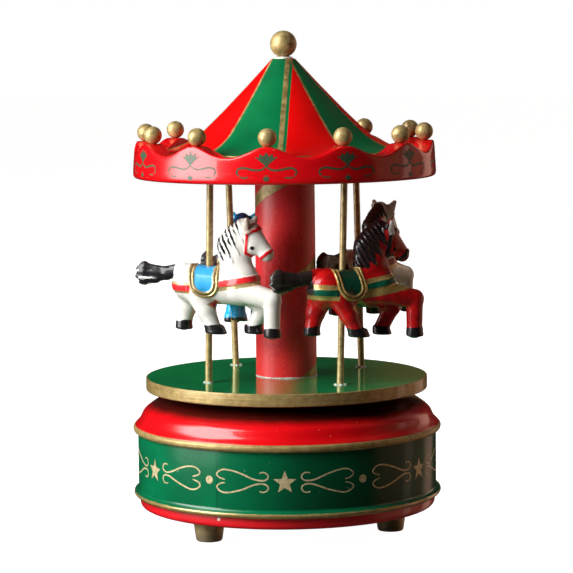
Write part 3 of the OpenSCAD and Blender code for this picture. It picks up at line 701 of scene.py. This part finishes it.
v, f = canopy_rim()
piece("canopy_rim_scalloped", v, f, rim_red, "carousel", ["canopy_rim"])
v, f = lathe(np.vstack([
    [[0, 133.0], [43.0, 133.0], [43.1, 134.5]],
    curve([(43.0, 134.75), (41.0, 135.4), (38.4, 136.25), (35.6, 137.35), (32.7, 138.9),
           (30.0, 140.75), (28.4, 142.1)], 4),
    [[21.6, 148.7]],
    rounded([(13.0, 157.6, 0), (4.06, 167.2, 0.4), (2.5, 167.2, 0)], 4), [[0, 167.2]]]), 360)
piece("roof_cone_striped", v, f, cone_paint(), "carousel", ["roof_cone"])


def ball(c, r, seed):
    """A turned bead, slightly out of round."""
    t = np.linspace(0, np.pi, 40)
    p = np.stack([r * np.sin(t), c[2] - r * np.cos(t)], -1)
    p[0, 0] = p[-1, 0] = 0
    ph = seed * 1.7
    return lathe(p, 64, c[:2], lambda a, z: 0.02 * np.sin(2 * a + ph) + 0.012 * np.sin(5 * a + ph))


for i in range(12):
    v, f = ball((*on_circle(49.6, RIM_AZ + 30 * i), 141.3), 3.17, i)
    piece(f"rim_bead_{i + 1:02d}", v, f, gold_ball, "carousel", [f"rim_ball_{i + 1:02d}"])
t = np.linspace(0.35, np.pi, 44)
ballp = np.stack([4.72 * np.sin(t), 172.3 - 4.72 * np.cos(t)], -1)
ballp[-1, 0] = 0
v, f = lathe(np.vstack([[[0, 161.6], [1.48, 161.6], [1.48, 167.2], [3.0, 167.2], [3.05, 167.6],
                         [2.4, 167.95]], ballp]), 96)
piece("finial_ball", v, f, gold_ball, "carousel", ["finial"])
v, f = lathe(rounded([(1.6, 167.15, 0), (3.5, 167.15, 0.3), (3.1, 167.75, 0.3), (1.6, 168.0, 0)],
                     4, True), 64, ripple=lambda a, z: 0.12 * np.sin(3 * a) + 0.06 * np.sin(7 * a))
piece("finial_glue_ring", v, f,
      grainy("finial_glue", (900.0, 3.0, 0.5), (0.5, 0.0002), (0.55, 0.50, 0.42),
             (0.85, 0.82, 0.76), Roughness=0.4), "carousel")

# Grey-green motif under each peak
HALF_FAN = [(-0.30, -0.05), (-0.55, 0.55), (-1.25, 1.15), (-2.45, 2.15), (-3.95, 3.3), (-3.0, 3.15),
            (-2.25, 2.95), (-2.35, 3.6), (-2.05, 4.45), (-1.5, 3.95), (-1.15, 3.4), (-1.0, 3.9),
            (-0.75, 3.5), (-0.5, 4.2)]
HOOK = [(-0.15, -0.05), (-0.7, -0.35), (-1.4, -0.8), (-2.8, -1.12), (-4.4, -1.0), (-5.9, -0.7),
        (-7.8, -0.45), (-9.1, -0.62), (-9.95, -1.35), (-10.0, -2.3), (-9.25, -3.1), (-8.1, -3.6),
        (-6.9, -3.65), (-6.2, -3.4)]
MOTIF_Z = 131.75
motifs = Plates(rim_out)
for k in range(12):
    s0 = math.radians(RIM_AZ + 30 * k) * WALL_R
    fan = HALF_FAN + [(0.0, 4.95)] + [(-x, z) for x, z in reversed(HALF_FAN)]
    edge = []
    for i, p in enumerate(fan):
        q = np.array(fan[(i + 1) % len(fan)])
        edge += [np.array(p) + (q - np.array(p)) * w for w in (0, 0.5)]
    motifs.blob((s0, MOTIF_Z + 1.6), np.array(edge) + (s0, MOTIF_Z))
    motifs.dot((s0, MOTIF_Z - 3.85), 1.02, 1.05, 24)
    for side in (1, -1):
        path = [(s0 + side * x, MOTIF_Z + z + RNG.normal(0, 0.05)) for x, z in HOOK]
        motifs.stroke(path, lambda u: 0.26 + 0.08 * np.sin(np.pi * unit(u * 1.3)))
motif_dark = flat_paint("grey_green_paint", (0.035, 0.085, 0.045), (0.06, 0.06, 0.035), 0.0, 0.3)
motifs.make("rim_motifs", motif_dark, "carousel")


# ---- horses
def seg(p, a, b, ra, rb, flat=1.0):
    """Distance to a tapered rod from a to b, squeezed sideways by flat about its own axis."""
    a, b = np.array(a, float), np.array(b, float)
    d = b - a
    t = unit(((p[0] - a[0]) * d[0] + (p[1] - a[1]) * d[1] + (p[2] - a[2]) * d[2]) / (d @ d))
    y = (p[1] - a[1] - t * d[1]) / flat
    return np.sqrt((p[0] - a[0] - t * d[0]) ** 2 + y * y + (p[2] - a[2] - t * d[2]) ** 2) \
        - (ra + (rb - ra) * t)


def egg(p, c, r):
    x, y, z = ((p[i] - c[i]) / r[i] for i in range(3))
    k0 = np.sqrt(x * x + y * y + z * z)
    k1 = np.sqrt((x / r[0]) ** 2 + (y / r[1]) ** 2 + (z / r[2]) ** 2) + 1e-6
    return k0 * (k0 - 1) / k1


def blend(a, b, k):
    h = unit(0.5 + 0.5 * (b - a) / k)
    return b + (a - b) * h - k * h * (1 - h)


def line2(x, z, pts):
    """Distance in the side view to a chain of points."""
    best = np.full(np.shape(x), 1e9)
    for (x0, z0), (x1, z1) in zip(pts[:-1], pts[1:]):
        dx, dz = x1 - x0, z1 - z0
        t = unit(((x - x0) * dx + (z - z0) * dz) / (dx * dx + dz * dz))
        best = np.minimum(best, np.hypot(x - x0 - t * dx, z - z0 - t * dz))
    return best


def saddle_u(x, z):
    """Distance in the side view from the middle of the seat: a U that opens upward."""
    cx = 1.5 - 0.17 * (z - 12.5)
    return 1.09 * np.where(z > 18.1, np.abs(x - cx), np.hypot(x - cx, z - 18.1))


def saddle_top(x):
    """The saddle's arms climb higher on the withers than on the rump."""
    return 24.6 + 0.9 * unit((x - 1.0) / 3.0)


LOCK = 1.65


def mane_edge(x, z):
    """Negative inside the mane, whose locks sweep down and forward to points."""
    front = np.interp(z, [22, 25.4, 28.7, 33.2, 37.7, 41], [5.6, 9.6, 11.8, 13.6, 13.9, 14.0])
    f = ((0.86 * x + 0.5 * z) / (2 * LOCK)) % 1.0
    tip = (4.4 * (1 - np.abs(2 * f - 1)) - 2.6) * np.clip((39.0 - z) / 5.0, 0.2, 1)
    return np.maximum((x - front - tip) * 0.8, 24.6 - z - 0.10 * x)


def strap_z(x):
    return 17.6 + 0.2 * (x - 5.7)


BRIDLE = [(19.3, 37.3), (15.5, 35.6), (14.6, 28.6), (18.7, 26.1), (23.6, 30.0)]
HOOVES = [(25.5, -3.5, 3.2, 3.0, 0.05), (15.8, 3.5, 3.6, 2.9, 0.4), (4.3, -3.5, 4.1, 3.0, 0.45),
          (-10.3, 3.5, 3.2, 3.0, 0.1)]
LEGS = [((12.6, -2.7, 15.6), (25.0, -3.5, 13.2), (25.3, -3.5, 2.0), 4.2, 3.3, 2.75),
        ((13.6, 2.7, 14.0), (19.4, 3.5, 9.6), (15.8, 3.5, 2.8), 4.1, 3.1, 2.6),
        ((-2.4, -2.7, 14.2), (0.6, -3.4, 8.2), (3.4, -3.5, 2.6), 4.9, 3.5, 2.6),
        ((-7.4, 2.7, 14.2), (-9.2, 3.4, 8.0), (-10.3, 3.5, 2.2), 5.0, 3.5, 2.6)]


def horse_sdf(p):
    x, y, z = p
    ay = np.abs(y)
    d = seg(p, (-5.6, 0, 16.9), (12.2, 0, 16.3), 6.7, 6.3, 0.95)
    d = blend(d, egg(p, (-6.9, 0, 17.0), (6.1, 6.0, 6.3)), 1.5)
    d = blend(d, egg(p, (13.4, 0, 17.6), (5.5, 5.5, 6.6)), 1.5)
    neck = seg(p, (9.9, 0, 20.5), (10.0, 0, 33.4), 6.6, 4.6, 0.62)
    neck = blend(neck, seg(p, (11.4, 0, 29.6), (13.6, 0, 35.6), 4.2, 4.0, 0.72), 2.0)
    d = blend(d, neck, 2.6)
    mane = seg(p, (6.4, 0, 25.6), (7.0, 0, 31.4), 3.0, 3.3, 0.90)
    mane = blend(mane, seg(p, (7.0, 0, 31.4), (12.6, 0, 37.4), 3.2, 2.9, 0.9), 1.0)
    d = blend(d, mane, 0.7)
    head = seg(p, (15.2, 0, 34.6), (20.8, 0, 29.2), 4.3, 2.7, 0.86)
    head = blend(head, egg(p, (16.2, 0, 31.4), (3.5, 3.5, 3.4)), 1.2)
    head = blend(head, egg(p, (21.4, 0, 28.2), (2.4, 2.2, 2.4)), 0.9)
    head = blend(head, egg(p, (15.6, 0, 36.4), (3.2, 3.0, 2.8)), 1.0)
    d = blend(d, head, 0.9)
    for s in (1, -1):
        ear = seg(p, (14.7, 2.3 * s, 36.8), (15.3, 4.5 * s, 40.4), 2.3, 0.8, 1.0)
        ear = np.maximum(ear, -seg(p, (17.1, 3.4 * s, 38.0), (17.0, 5.0 * s, 41.0), 1.5, 0.7, 1.0))
        d = blend(d, ear, 0.5)
    tail = seg(p, (-9.6, 0, 21.3), (-15.6, 0, 19.9), 2.5, 2.35, 0.66)
    tail = blend(tail, seg(p, (-15.6, 0, 19.9), (-20.4, 0, 19.2), 2.35, 2.9, 0.56), 0.8)
    tail = blend(tail, seg(p, (-20.4, 0, 19.2), (-23.9, 0, 19.2), 2.9, 4.3, 0.45), 1.4)
    lobes = 0.35 * np.abs(z - 19.4) + 0.5 * np.cos((z - 19.4) * 2.2)
    d = blend(d, blend(tail, -x - 27.6 + lobes, -0.8), 0.6)
    for top, knee, low, r0, r1, r2 in LEGS:
        leg = blend(seg(p, top, knee, r0, r1, 0.92), seg(p, knee, low, r1 * 0.92, r2, 0.97), 0.8)
        d = blend(d, leg, 1.2)
    for hx, hy, rx, ry, toe in HOOVES:
        q = np.hypot((x - hx - toe * (1.6 - z) * 0.6) / rx, (y - hy) / ry)
        foot = blend((q - 1 + 0.05 * z) * 3.0, np.abs(z - 1.65) - 1.6, -0.8)
        d = blend(d, foot, 0.7)
    # Relief: saddle pad and its two raised rings, straps, bridle and mane locks
    side = unit((ay - 1.6) / 1.5)
    u = saddle_u(x, z)
    pad = unit((6.2 - u) / 0.35) * 0.25
    ring1 = unit(1 - np.abs(u - 4.1) / 0.5) * 0.5
    ring2 = unit(1 - np.abs(u - 5.45) / 0.5) * 0.45
    relief = np.where(z < saddle_top(x), pad + ring1 + ring2, 0) * np.where(z > 11, side, 0)
    strap = unit((1.35 - np.abs(z - strap_z(x))) / 0.3) * (x > 5) * (z < 23) * 0.3
    breech = unit((1.5 - np.abs(z - 15.6)) / 0.3) * (x < -5) * (x > -14.5) * 0.3
    relief = np.maximum(relief, np.maximum(strap, breech) * (u > 5.8))
    bri = unit((0.75 - line2(x, z, BRIDLE)) / 0.3) * 0.28 * (x > 12.5) * (z > 25)
    relief = relief + bri
    me = mane_edge(x, z)
    comb = 0.22 * np.cos((0.86 * x + 0.5 * z) / LOCK * 2 * np.pi) * np.clip(ay / 2.6, 0.15, 1)
    relief = relief + np.where(z > 24.0, 0.30 + comb, 0) * unit(-me / 0.4)
    hair = 0.11 * np.sin((z - 19) * 3.2 + 0.25 * (x + 18) + np.sin(x * 0.4))
    relief = relief + hair * unit((-13.0 - x) / 1.5)
    eye = np.hypot((x - 17.2), (z - 30.6) * 1.15)
    relief = relief + np.where((eye < 1.1) & (ay > 1.2), 0.22 * (1 - eye / 1.1), 0)
    return d - relief


def surface_nets(f, lo, h):
    """Vertices and quads of the surface f = 0 on a grid, for a field that is negative inside."""
    n = np.array(f.shape)
    total = np.zeros(tuple(n - 1) + (3,), np.float32)
    count = np.zeros(tuple(n - 1), np.float32)
    corners = [(i, j, k) for i in (0, 1) for j in (0, 1) for k in (0, 1)]

    def part(c):
        return f[c[0]:n[0] - 1 + c[0], c[1]:n[1] - 1 + c[1], c[2]:n[2] - 1 + c[2]]

    for a in corners:
        for axis in range(3):
            if a[axis]:
                continue
            b = tuple(1 if i == axis else a[i] for i in range(3))
            fa, fb = part(a), part(b)
            hit = (fa < 0) != (fb < 0)
            t = np.where(hit, fa / np.where(hit, fa - fb, 1), 0)
            for i in range(3):
                total[..., i] += np.where(hit, (t if i == axis else a[i]), 0)
            count += hit
    used = count > 0
    index = np.full(used.shape, -1, np.int64)
    index[used] = np.arange(used.sum())
    cell = np.argwhere(used)
    v = lo + h * (cell + total[used] / count[used][:, None])
    quads = []
    for axis in range(3):
        o = [i for i in range(3) if i != axis]
        s0 = [slice(1, n[i] - 1) for i in range(3)]
        s1 = list(s0)
        s0[axis], s1[axis] = slice(0, n[axis] - 1), slice(1, n[axis])
        fa, fb = f[tuple(s0)], f[tuple(s1)]
        hit = np.argwhere((fa < 0) != (fb < 0))
        base = hit.copy()
        for i in o:
            base[:, i] += 1
        first = fa[tuple(hit.T)] < 0

        def at(da, db):
            c = base.copy()
            c[:, o[0]] -= da
            c[:, o[1]] -= db
            return index[tuple(c.T)]

        q = np.stack([at(0, 0), at(1, 0), at(1, 1), at(0, 1)], 1)
        flip = first if axis != 1 else ~first
        q[~flip] = q[~flip][:, ::-1]
        quads.append(q)
    return v, np.vstack(quads)


def horse_mesh():
    """One horse, facing +X and standing on z = 0; its pole goes through the origin."""
    h = 0.24
    lo, hi = np.array([-29.0, -8.0, -0.6]), np.array([30.0, 8.0, 43.6])
    axes = [np.arange(lo[i], hi[i], h, dtype=np.float32) for i in range(3)]
    p = np.meshgrid(*axes, indexing="ij", sparse=True)
    f = horse_sdf(np.broadcast_arrays(*p))
    v, q = surface_nets(f.astype(np.float32), lo, h)
    # Light smoothing takes off the grid's steps; the pass with a minus keeps the volume
    e = np.vstack([q[:, [0, 1]], q[:, [1, 2]], q[:, [2, 3]], q[:, [3, 0]]])
    for w in (0.5, -0.52, 0.45):
        s, c = np.zeros_like(v), np.zeros(len(v))
        for a, b in ((0, 1), (1, 0)):
            for i in range(3):
                s[:, i] += np.bincount(e[:, a], v[e[:, b], i], len(v))
            c += np.bincount(e[:, a], minlength=len(v))
        v = v + w * (s / c[:, None] - v)
    return v, q


def horse_zones(v):
    """Signed distances in mm of the paint areas, negative inside, one value a vertex."""
    x, y, z = v.T
    ay = np.abs(y)
    far = 9.0
    u = saddle_u(x, z)
    clear = u > 5.9
    chest = (x > 4.6) & (z < 24) & clear
    rump = (x < -4) & (x > -14.0) & clear & (z < 23)
    seat = np.where((z > 10.5) & (z < saddle_top(x) + 0.6) & (x < 10) & (x > -9), u, far)
    off = z - strap_z(x)
    girth = np.where(z < 14, np.abs(x - 4.3) * 0.8 + np.abs(z - 10.4) - 1.35, far)
    bridle = np.where((x > 12.5) & (z > 25), line2(x, z, BRIDLE), far)
    brow = np.where((z > 35) & (x > 18.0), np.abs((z - 37.3) + 0.3 * (x - 19.3)), far)
    return dict(hoof=z - 3.3 + 0.25 * np.sin(x * 0.9), tail=np.maximum(x + 12.4, 14.5 - z),
                mane=np.where(x < 15, mane_edge(x, z), far), seat=seat,
                strap=np.where(chest, np.abs(off), far),
                under=np.where(chest, np.abs(off + 1.55), far),
                breech=np.where(rump, np.abs(z - 15.6), far), girth=girth,
                bridle=np.minimum(bridle, brow),
                ear=np.where((z > 35.4) & (ay > 1.9), np.hypot(x - 15.6, (z - 37.9) * 0.5), far),
                eye=np.where(ay > 1.0, np.hypot(x - 17.2, (z - 30.6) * 1.15), far),
                hx=x, hy=y, hz=z)


GOLD_TRIM = (("under", 0.95), ("breech", 1.95), ("girth", 0.55))
GOLD_TRIM_WIDE = (("under", 2.5), ("strap", 2.45), ("breech", 2.7), ("girth", 1.6))


def horse_paint(name, body, body2, streak, tail, tail_streak, seat, ring, strap, bridle, patch,
                muzzle_tint_and_shade, ear, mane=None, gold_straps=False, mane_in=0.0, hoof=0.0, ear_size=1.0):
    """Hand-painted enamel on a cast horse, its areas read from the mesh's own distances.

    A horse with no mane colour has ink strokes over its body colour instead.
    """
    t = Paint(name)
    hx, hy, hz = t.attr("hx"), t.attr("hy"), t.attr("hz")
    pos = t.vec(hx, hy, hz)
    wob = t.sway(t.noise(pos, 0.9, 3.0, 0.6), 0.55)
    cloud = t.noise(pos, 0.35, 3.0, 0.5)

    def area(attr, limit, soft=0.12, wobble=True):
        d = t.attr(attr)
        if wobble:
            d = t.plus(d, wob)
        return t.fall(d, limit - soft, limit + soft)

    def without(metal, k):
        return t.mul(metal, t.minus(1.0, k))

    gold, _, gold_height = gold_on(t, t.vec(*(t.mul(c, MM) for c in (hx, hy, hz))))
    gold = t.mix(0.5, gold, (0.60, 0.40, 0.11) if gold_straps else (0.74, 0.56, 0.28))
    # The muzzle has its own colour: a painted tint on most horses, painted shade on the red one.
    nose = t.step(t.minus(t.mul(hx, 0.7), t.mul(hz, 0.5)), 0.8, 2.4)
    col = t.mix(t.mul(nose, t.step(hz, 24.5, 25.5)), t.drift(cloud, body, body2), muzzle_tint_and_shade)
    metal = 0.0
    for attr, limit in GOLD_TRIM_WIDE if gold_straps else GOLD_TRIM:
        k = area(attr, limit)
        col, metal = t.mix(k, col, gold), t.m("MAXIMUM", metal, k)
    for attr, limit, paint in (("strap", 1.05, strap), ("breech", 1.1, strap),
                               ("girth", 0.0, patch)):
        k = area(attr, limit)
        col, metal = t.mix(k, col, paint), without(metal, k)
    k = area("seat", 6.1)
    col, metal = t.mix(k, col, gold), t.m("MAXIMUM", metal, k)
    gap = without(area("seat", 4.98, wobble=False), area("seat", 4.6, wobble=False))
    col = t.mix(t.mul(gap, 0.85), col, ring)
    k = area("seat", 3.6)
    col, metal = t.mix(k, col, seat), without(metal, k)
    col = t.mix(area("bridle", 0.8 if gold_straps else 0.58), col, bridle)
    turn = t.m("DIVIDE", t.plus(t.mul(hx, 0.86), t.mul(hz, 0.5)), LOCK)
    turn = t.plus(turn, t.mul(t.noise(pos, 0.5, 2.0), 0.55))
    groove = t.abs(t.minus(t.m("FRACT", turn), 0.5))
    if mane is None:
        ink = t.mul(t.fall(groove, 0.20, 0.26), t.step(t.noise(pos, 0.7, 2.0), 0.36, 0.42))
        col = t.mix(t.mul(ink, area("mane", -1.7, 0.5)), col, streak)
    else:
        hair = t.mix(t.step(groove, 0.30, 0.46), mane, streak)
        col = t.mix(area("mane", mane_in, 0.1), col, hair)
    col = t.mix(area("ear", ear_size, 0.25), col, ear)
    strands = t.noise(t.vec(t.mul(hx, 0.10), t.mul(hy, 0.7), t.mul(hz, 0.75)), 1.0, 2.0)
    wisp = t.mul(t.step(strands, 0.56, 0.62), t.fall(hx, -22.5, -18.5))
    col = t.mix(area("tail", 0.0), col, t.mix(wisp, tail, tail_streak))
    col = t.mix(area("hoof", hoof), col, (0.010, 0.009, 0.010))
    col = t.mix(area("eye", 0.80, 0.1, False), col, (0.008, 0.006, 0.006))
    glint = t.plus(t.attr("eye"), t.abs(t.minus(hz, 30.95)))
    col = t.mix(t.fall(glint, 0.28, 0.42), col, (0.8, 0.8, 0.8))
    t.bump(t.plus(t.noise(pos, 1.6, 4.0, 0.6), t.mul(gold_height, 0.3)), 0.35, 0.00018)
    return t.set(Base_Color=col, Metallic=t.mul(metal, GOLD_METAL),
                 Roughness=t.plus(0.20, t.mul(cloud, 0.15)), Coat_Weight=0.6, Coat_Roughness=0.10)


IVORY, INK = (0.66, 0.65, 0.60), (0.012, 0.012, 0.014)
# Pole, height of the hooves, yaw and pitch in degrees, and how far forward on the pole
PLACES = {"white": (3, 72.5, -20, 2, -0.3), "red": (0, 71.4, 20, 2, 0.8),
          "cream": (1, 74.0, 55, 2, 1.4), "blue": (2, 71.1, 72, 9.5, -4.5)}
COATS = {
    "white": dict(
        body=IVORY, body2=(0.61, 0.59, 0.53), streak=INK, tail=INK, tail_streak=(0.78, 0.78, 0.76),
        seat=(0.03, 0.31, 0.60), ring=(0.03, 0.025, 0.02), strap=(0.66, 0.02, 0.025),
        bridle=(0.56, 0.008, 0.012), patch=(0.6, 0.02, 0.02), muzzle_tint_and_shade=(0.62, 0.54, 0.45),
        ear=(0.60, 0.50, 0.41), ear_size=1.3),
    # The red horse's dark maroon muzzle is painted shade.
    "red": dict(
        body=(0.47, 0.005, 0.006), body2=(0.29, 0.004, 0.005), mane=INK,
        streak=(0.035, 0.013, 0.011), tail=(0.022, 0.018, 0.016), tail_streak=(0.05, 0.042, 0.036),
        seat=(0.004, 0.050, 0.026), ring=(0.03, 0.02, 0.01), strap=(0.003, 0.075, 0.038),
        bridle=(0.012, 0.010, 0.010), patch=(0.003, 0.035, 0.018), muzzle_tint_and_shade=(0.12, 0.004, 0.005),
        ear=(0.74, 0.72, 0.68), gold_straps=True, ear_size=1.5),
    "cream": dict(
        body=(0.70, 0.63, 0.52), body2=(0.60, 0.53, 0.42), mane=(0.020, 0.012, 0.009),
        streak=(0.06, 0.035, 0.025), tail=(0.02, 0.015, 0.012), tail_streak=(0.07, 0.05, 0.035),
        seat=(0.12, 0.035, 0.018), ring=(0.05, 0.03, 0.02), strap=(0.30, 0.02, 0.02),
        bridle=(0.30, 0.010, 0.012), patch=(0.25, 0.02, 0.02), muzzle_tint_and_shade=(0.45, 0.34, 0.27),
        ear=(0.62, 0.50, 0.42), mane_in=-2.0, ear_size=2.2),
    "blue": dict(
        body=(0.018, 0.33, 0.62), body2=(0.012, 0.24, 0.50), mane=(0.006, 0.030, 0.10),
        streak=(0.02, 0.07, 0.18), tail=(0.035, 0.038, 0.04), tail_streak=(0.34, 0.35, 0.35),
        seat=(0.55, 0.03, 0.03), ring=(0.03, 0.03, 0.03), strap=(0.008, 0.03, 0.10),
        bridle=(0.008, 0.03, 0.10), patch=(0.4, 0.02, 0.02), muzzle_tint_and_shade=(0.02, 0.16, 0.34),
        ear=(0.03, 0.36, 0.62), hoof=-1.9, ear_size=2.8),
}
PIVOT_Z = 17
hv, hq = horse_mesh()
zones, quads = horse_zones(hv), hq.tolist()
for name, (k, z0, yaw, pitch, slip) in PLACES.items():
    mat = horse_paint(f"{name}_horse_enamel", **COATS[name])
    c = pole_at(k, z0 + PIVOT_Z)
    place = (Matrix.Translation((c[0], c[1], z0 + PIVOT_Z))
             @ Matrix.Rotation(math.radians(yaw), 4, "Z")
             @ Matrix.Rotation(math.radians(pitch), 4, "Y")
             @ Matrix.Translation((slip, 0, -PIVOT_Z)))
    m = np.array(place)
    v = hv @ m[:3, :3].T + m[:3, 3]
    piece(f"{name}_horse_cast", v, quads, mat, "carousel", [f"{name}_horse"],
          sharp=75, attrs=zones)

# ---- parts inside and underneath
brass = machine_metal("movement_brass", (0.72, 0.52, 0.20), (0.45, 0.30, 0.12), 0.22, 160.0)
steel = machine_metal("movement_steel", (0.56, 0.57, 0.60), (0.36, 0.36, 0.38), 0.18, 160.0)
BY_SLOT = {"movement_brass": brass, "movement_steel": steel, "fibreboard": fibreboard(),
           "felt": grainy("felt", (2400.0, 5.0, 0.8), (0.9, 0.0004), (0.012, 0.012, 0.012),
                          (0.06, 0.055, 0.05), Roughness=0.95, Sheen_Weight=0.5)}
for part in frame["record"]["subparts"]:
    mat = BY_SLOT.get(part["material_slot"])
    if mat is None:
        continue
    o = NODES[part["node"]]
    for s in o.material_slots:
        s.link = "OBJECT"
        s.material = mat
    if not o.material_slots:
        o.data.materials.append(mat)

# ---- stage, light and camera
scene = bpy.context.scene
WHITE = (1, 1, 1)
floor_mat = Paint("floor_white")
seen, mirrored = (floor_mat.add("LightPath", {}, out=i) for i in (0, 3))
floor_mat.bump(floor_mat.noise(floor_mat.coords(), 30.0, 3.0, 0.5), 0.05, 0.0005)
floor_mat.set(Base_Color=floor_mat.mix(seen, (0.16, 0.145, 0.13), (0.35, 0.35, 0.35)),
              Roughness=0.6, Alpha=floor_mat.minus(1.0, mirrored),
              Emission_Color=WHITE, Emission_Strength=floor_mat.mul(seen, 0.985))
me = bpy.data.meshes.new("floor")
me.from_pydata([(-6, -6, 0), (6, -6, 0), (6, 6, 0), (-6, 6, 0)], [], [(0, 1, 2, 3)])
me.materials.append(floor_mat.mat)
floor = bpy.data.objects.new("floor", me)
scene.collection.objects.link(floor)

# Azimuth, half width and colour of what the room shows in reflections
ROOM = ((85, 13, (0.42, 0.19, 0.11)), (106, 5, (0.85, 0.56, 0.42)), (119, 5, (0.30, 0.15, 0.09)),
        (139, 9, (0.75, 0.45, 0.33)), (174, 4, (0.10, 0.055, 0.02)))


def studio():
    """White where the camera looks past the object; a dim warm room in reflections and shade."""
    world = bpy.data.worlds.new("studio")
    world.use_nodes = True
    world.node_tree.nodes.clear()
    t = Tree(world.node_tree)
    x, y, z = t.xyz(t.add("TexCoord", {}, out=0))
    az = t.azimuth(x, y)
    low = t.step(t.abs(z), 0.2, 0.5, 1.0, 0.15)
    colour = (0.010, 0.009, 0.008)
    for at, half, tone in ROOM:
        k = t.fall(t.abs(t.minus(az, float(at))), half * 0.7, half * 1.3)
        colour = t.mix(t.mul(k, low), colour, tone)
    colour = t.mix(t.add("LightPath", {}, out=0), colour, WHITE)
    t.put(t.nt.nodes.new("ShaderNodeOutputWorld").inputs[0], t.add("Background", {0: colour}))
    return world


scene.world = studio()


def area_light(name, az, dist, z, size, power, aim_z=0.09, colour=WHITE):
    data = bpy.data.lights.new(name, "AREA")
    data.shape, data.size, data.size_y = "RECTANGLE", size[0], size[1]
    data.energy, data.color = power, colour
    o = bpy.data.objects.new(name, data)
    o.location = (*on_circle(dist, az), z)
    o.rotation_mode = "QUATERNION"
    o.rotation_quaternion = (o.location - Vector((0, 0, aim_z))).to_track_quat("Z", "Y")
    scene.collection.objects.link(o)
    return o


key = area_light("key_softbox", -75, 0.62, 0.34, (0.64, 0.84), 10.9)
front = area_light("front_fill", -56, 0.50, 0.34, (0.30, 0.30), 3.8, aim_z=0.12)
right = area_light("right_fill", 140, 1.0, 0.28, (0.5, 0.5), 5.5, colour=(1.0, 0.93, 0.86))
back = area_light("back_fill", 178, 0.9, 0.65, (0.6, 0.5), 5.0)
for o in (front, right, back):
    o.visible_glossy = False

# The softbox fades towards its far side and its lower edge
key.data.use_nodes = True
fade = Tree(key.data.node_tree)
across, up, _ = fade.xyz(fade.add("NewGeometry", {}, out=5))
glow = [n for n in fade.nt.nodes if n.bl_idname == "ShaderNodeEmission"][0]
fade.put(glow.inputs["Strength"], fade.mul(fade.step(across, 0.0, 0.35, 0.05, 1.0),
                                           fade.step(up, 0.09, 0.17, 0.35, 1.0)))

SENSOR_MM, LENS_MM = 36.0, 159.09964
CAMERA_AT, TILT_DOWN, ROLL = (0.000288, -0.89813, 0.17724), 0.101, 0.0096
cam = bpy.data.objects.new("camera", bpy.data.cameras.new("camera"))
cam.data.sensor_width, cam.data.lens = SENSOR_MM, LENS_MM
cam.data.clip_start, cam.data.clip_end = 0.05, 50
cam.matrix_world = (Matrix.Translation(CAMERA_AT)
                    @ Matrix.Rotation(math.pi / 2 - TILT_DOWN, 4, "X")
                    @ Matrix.Rotation(-ROLL, 4, "Z"))
scene.collection.objects.link(cam)
scene.camera = cam
scene.view_settings.view_transform = "Standard"
scene.view_settings.look = "None"
scene.view_settings.exposure = 0.0
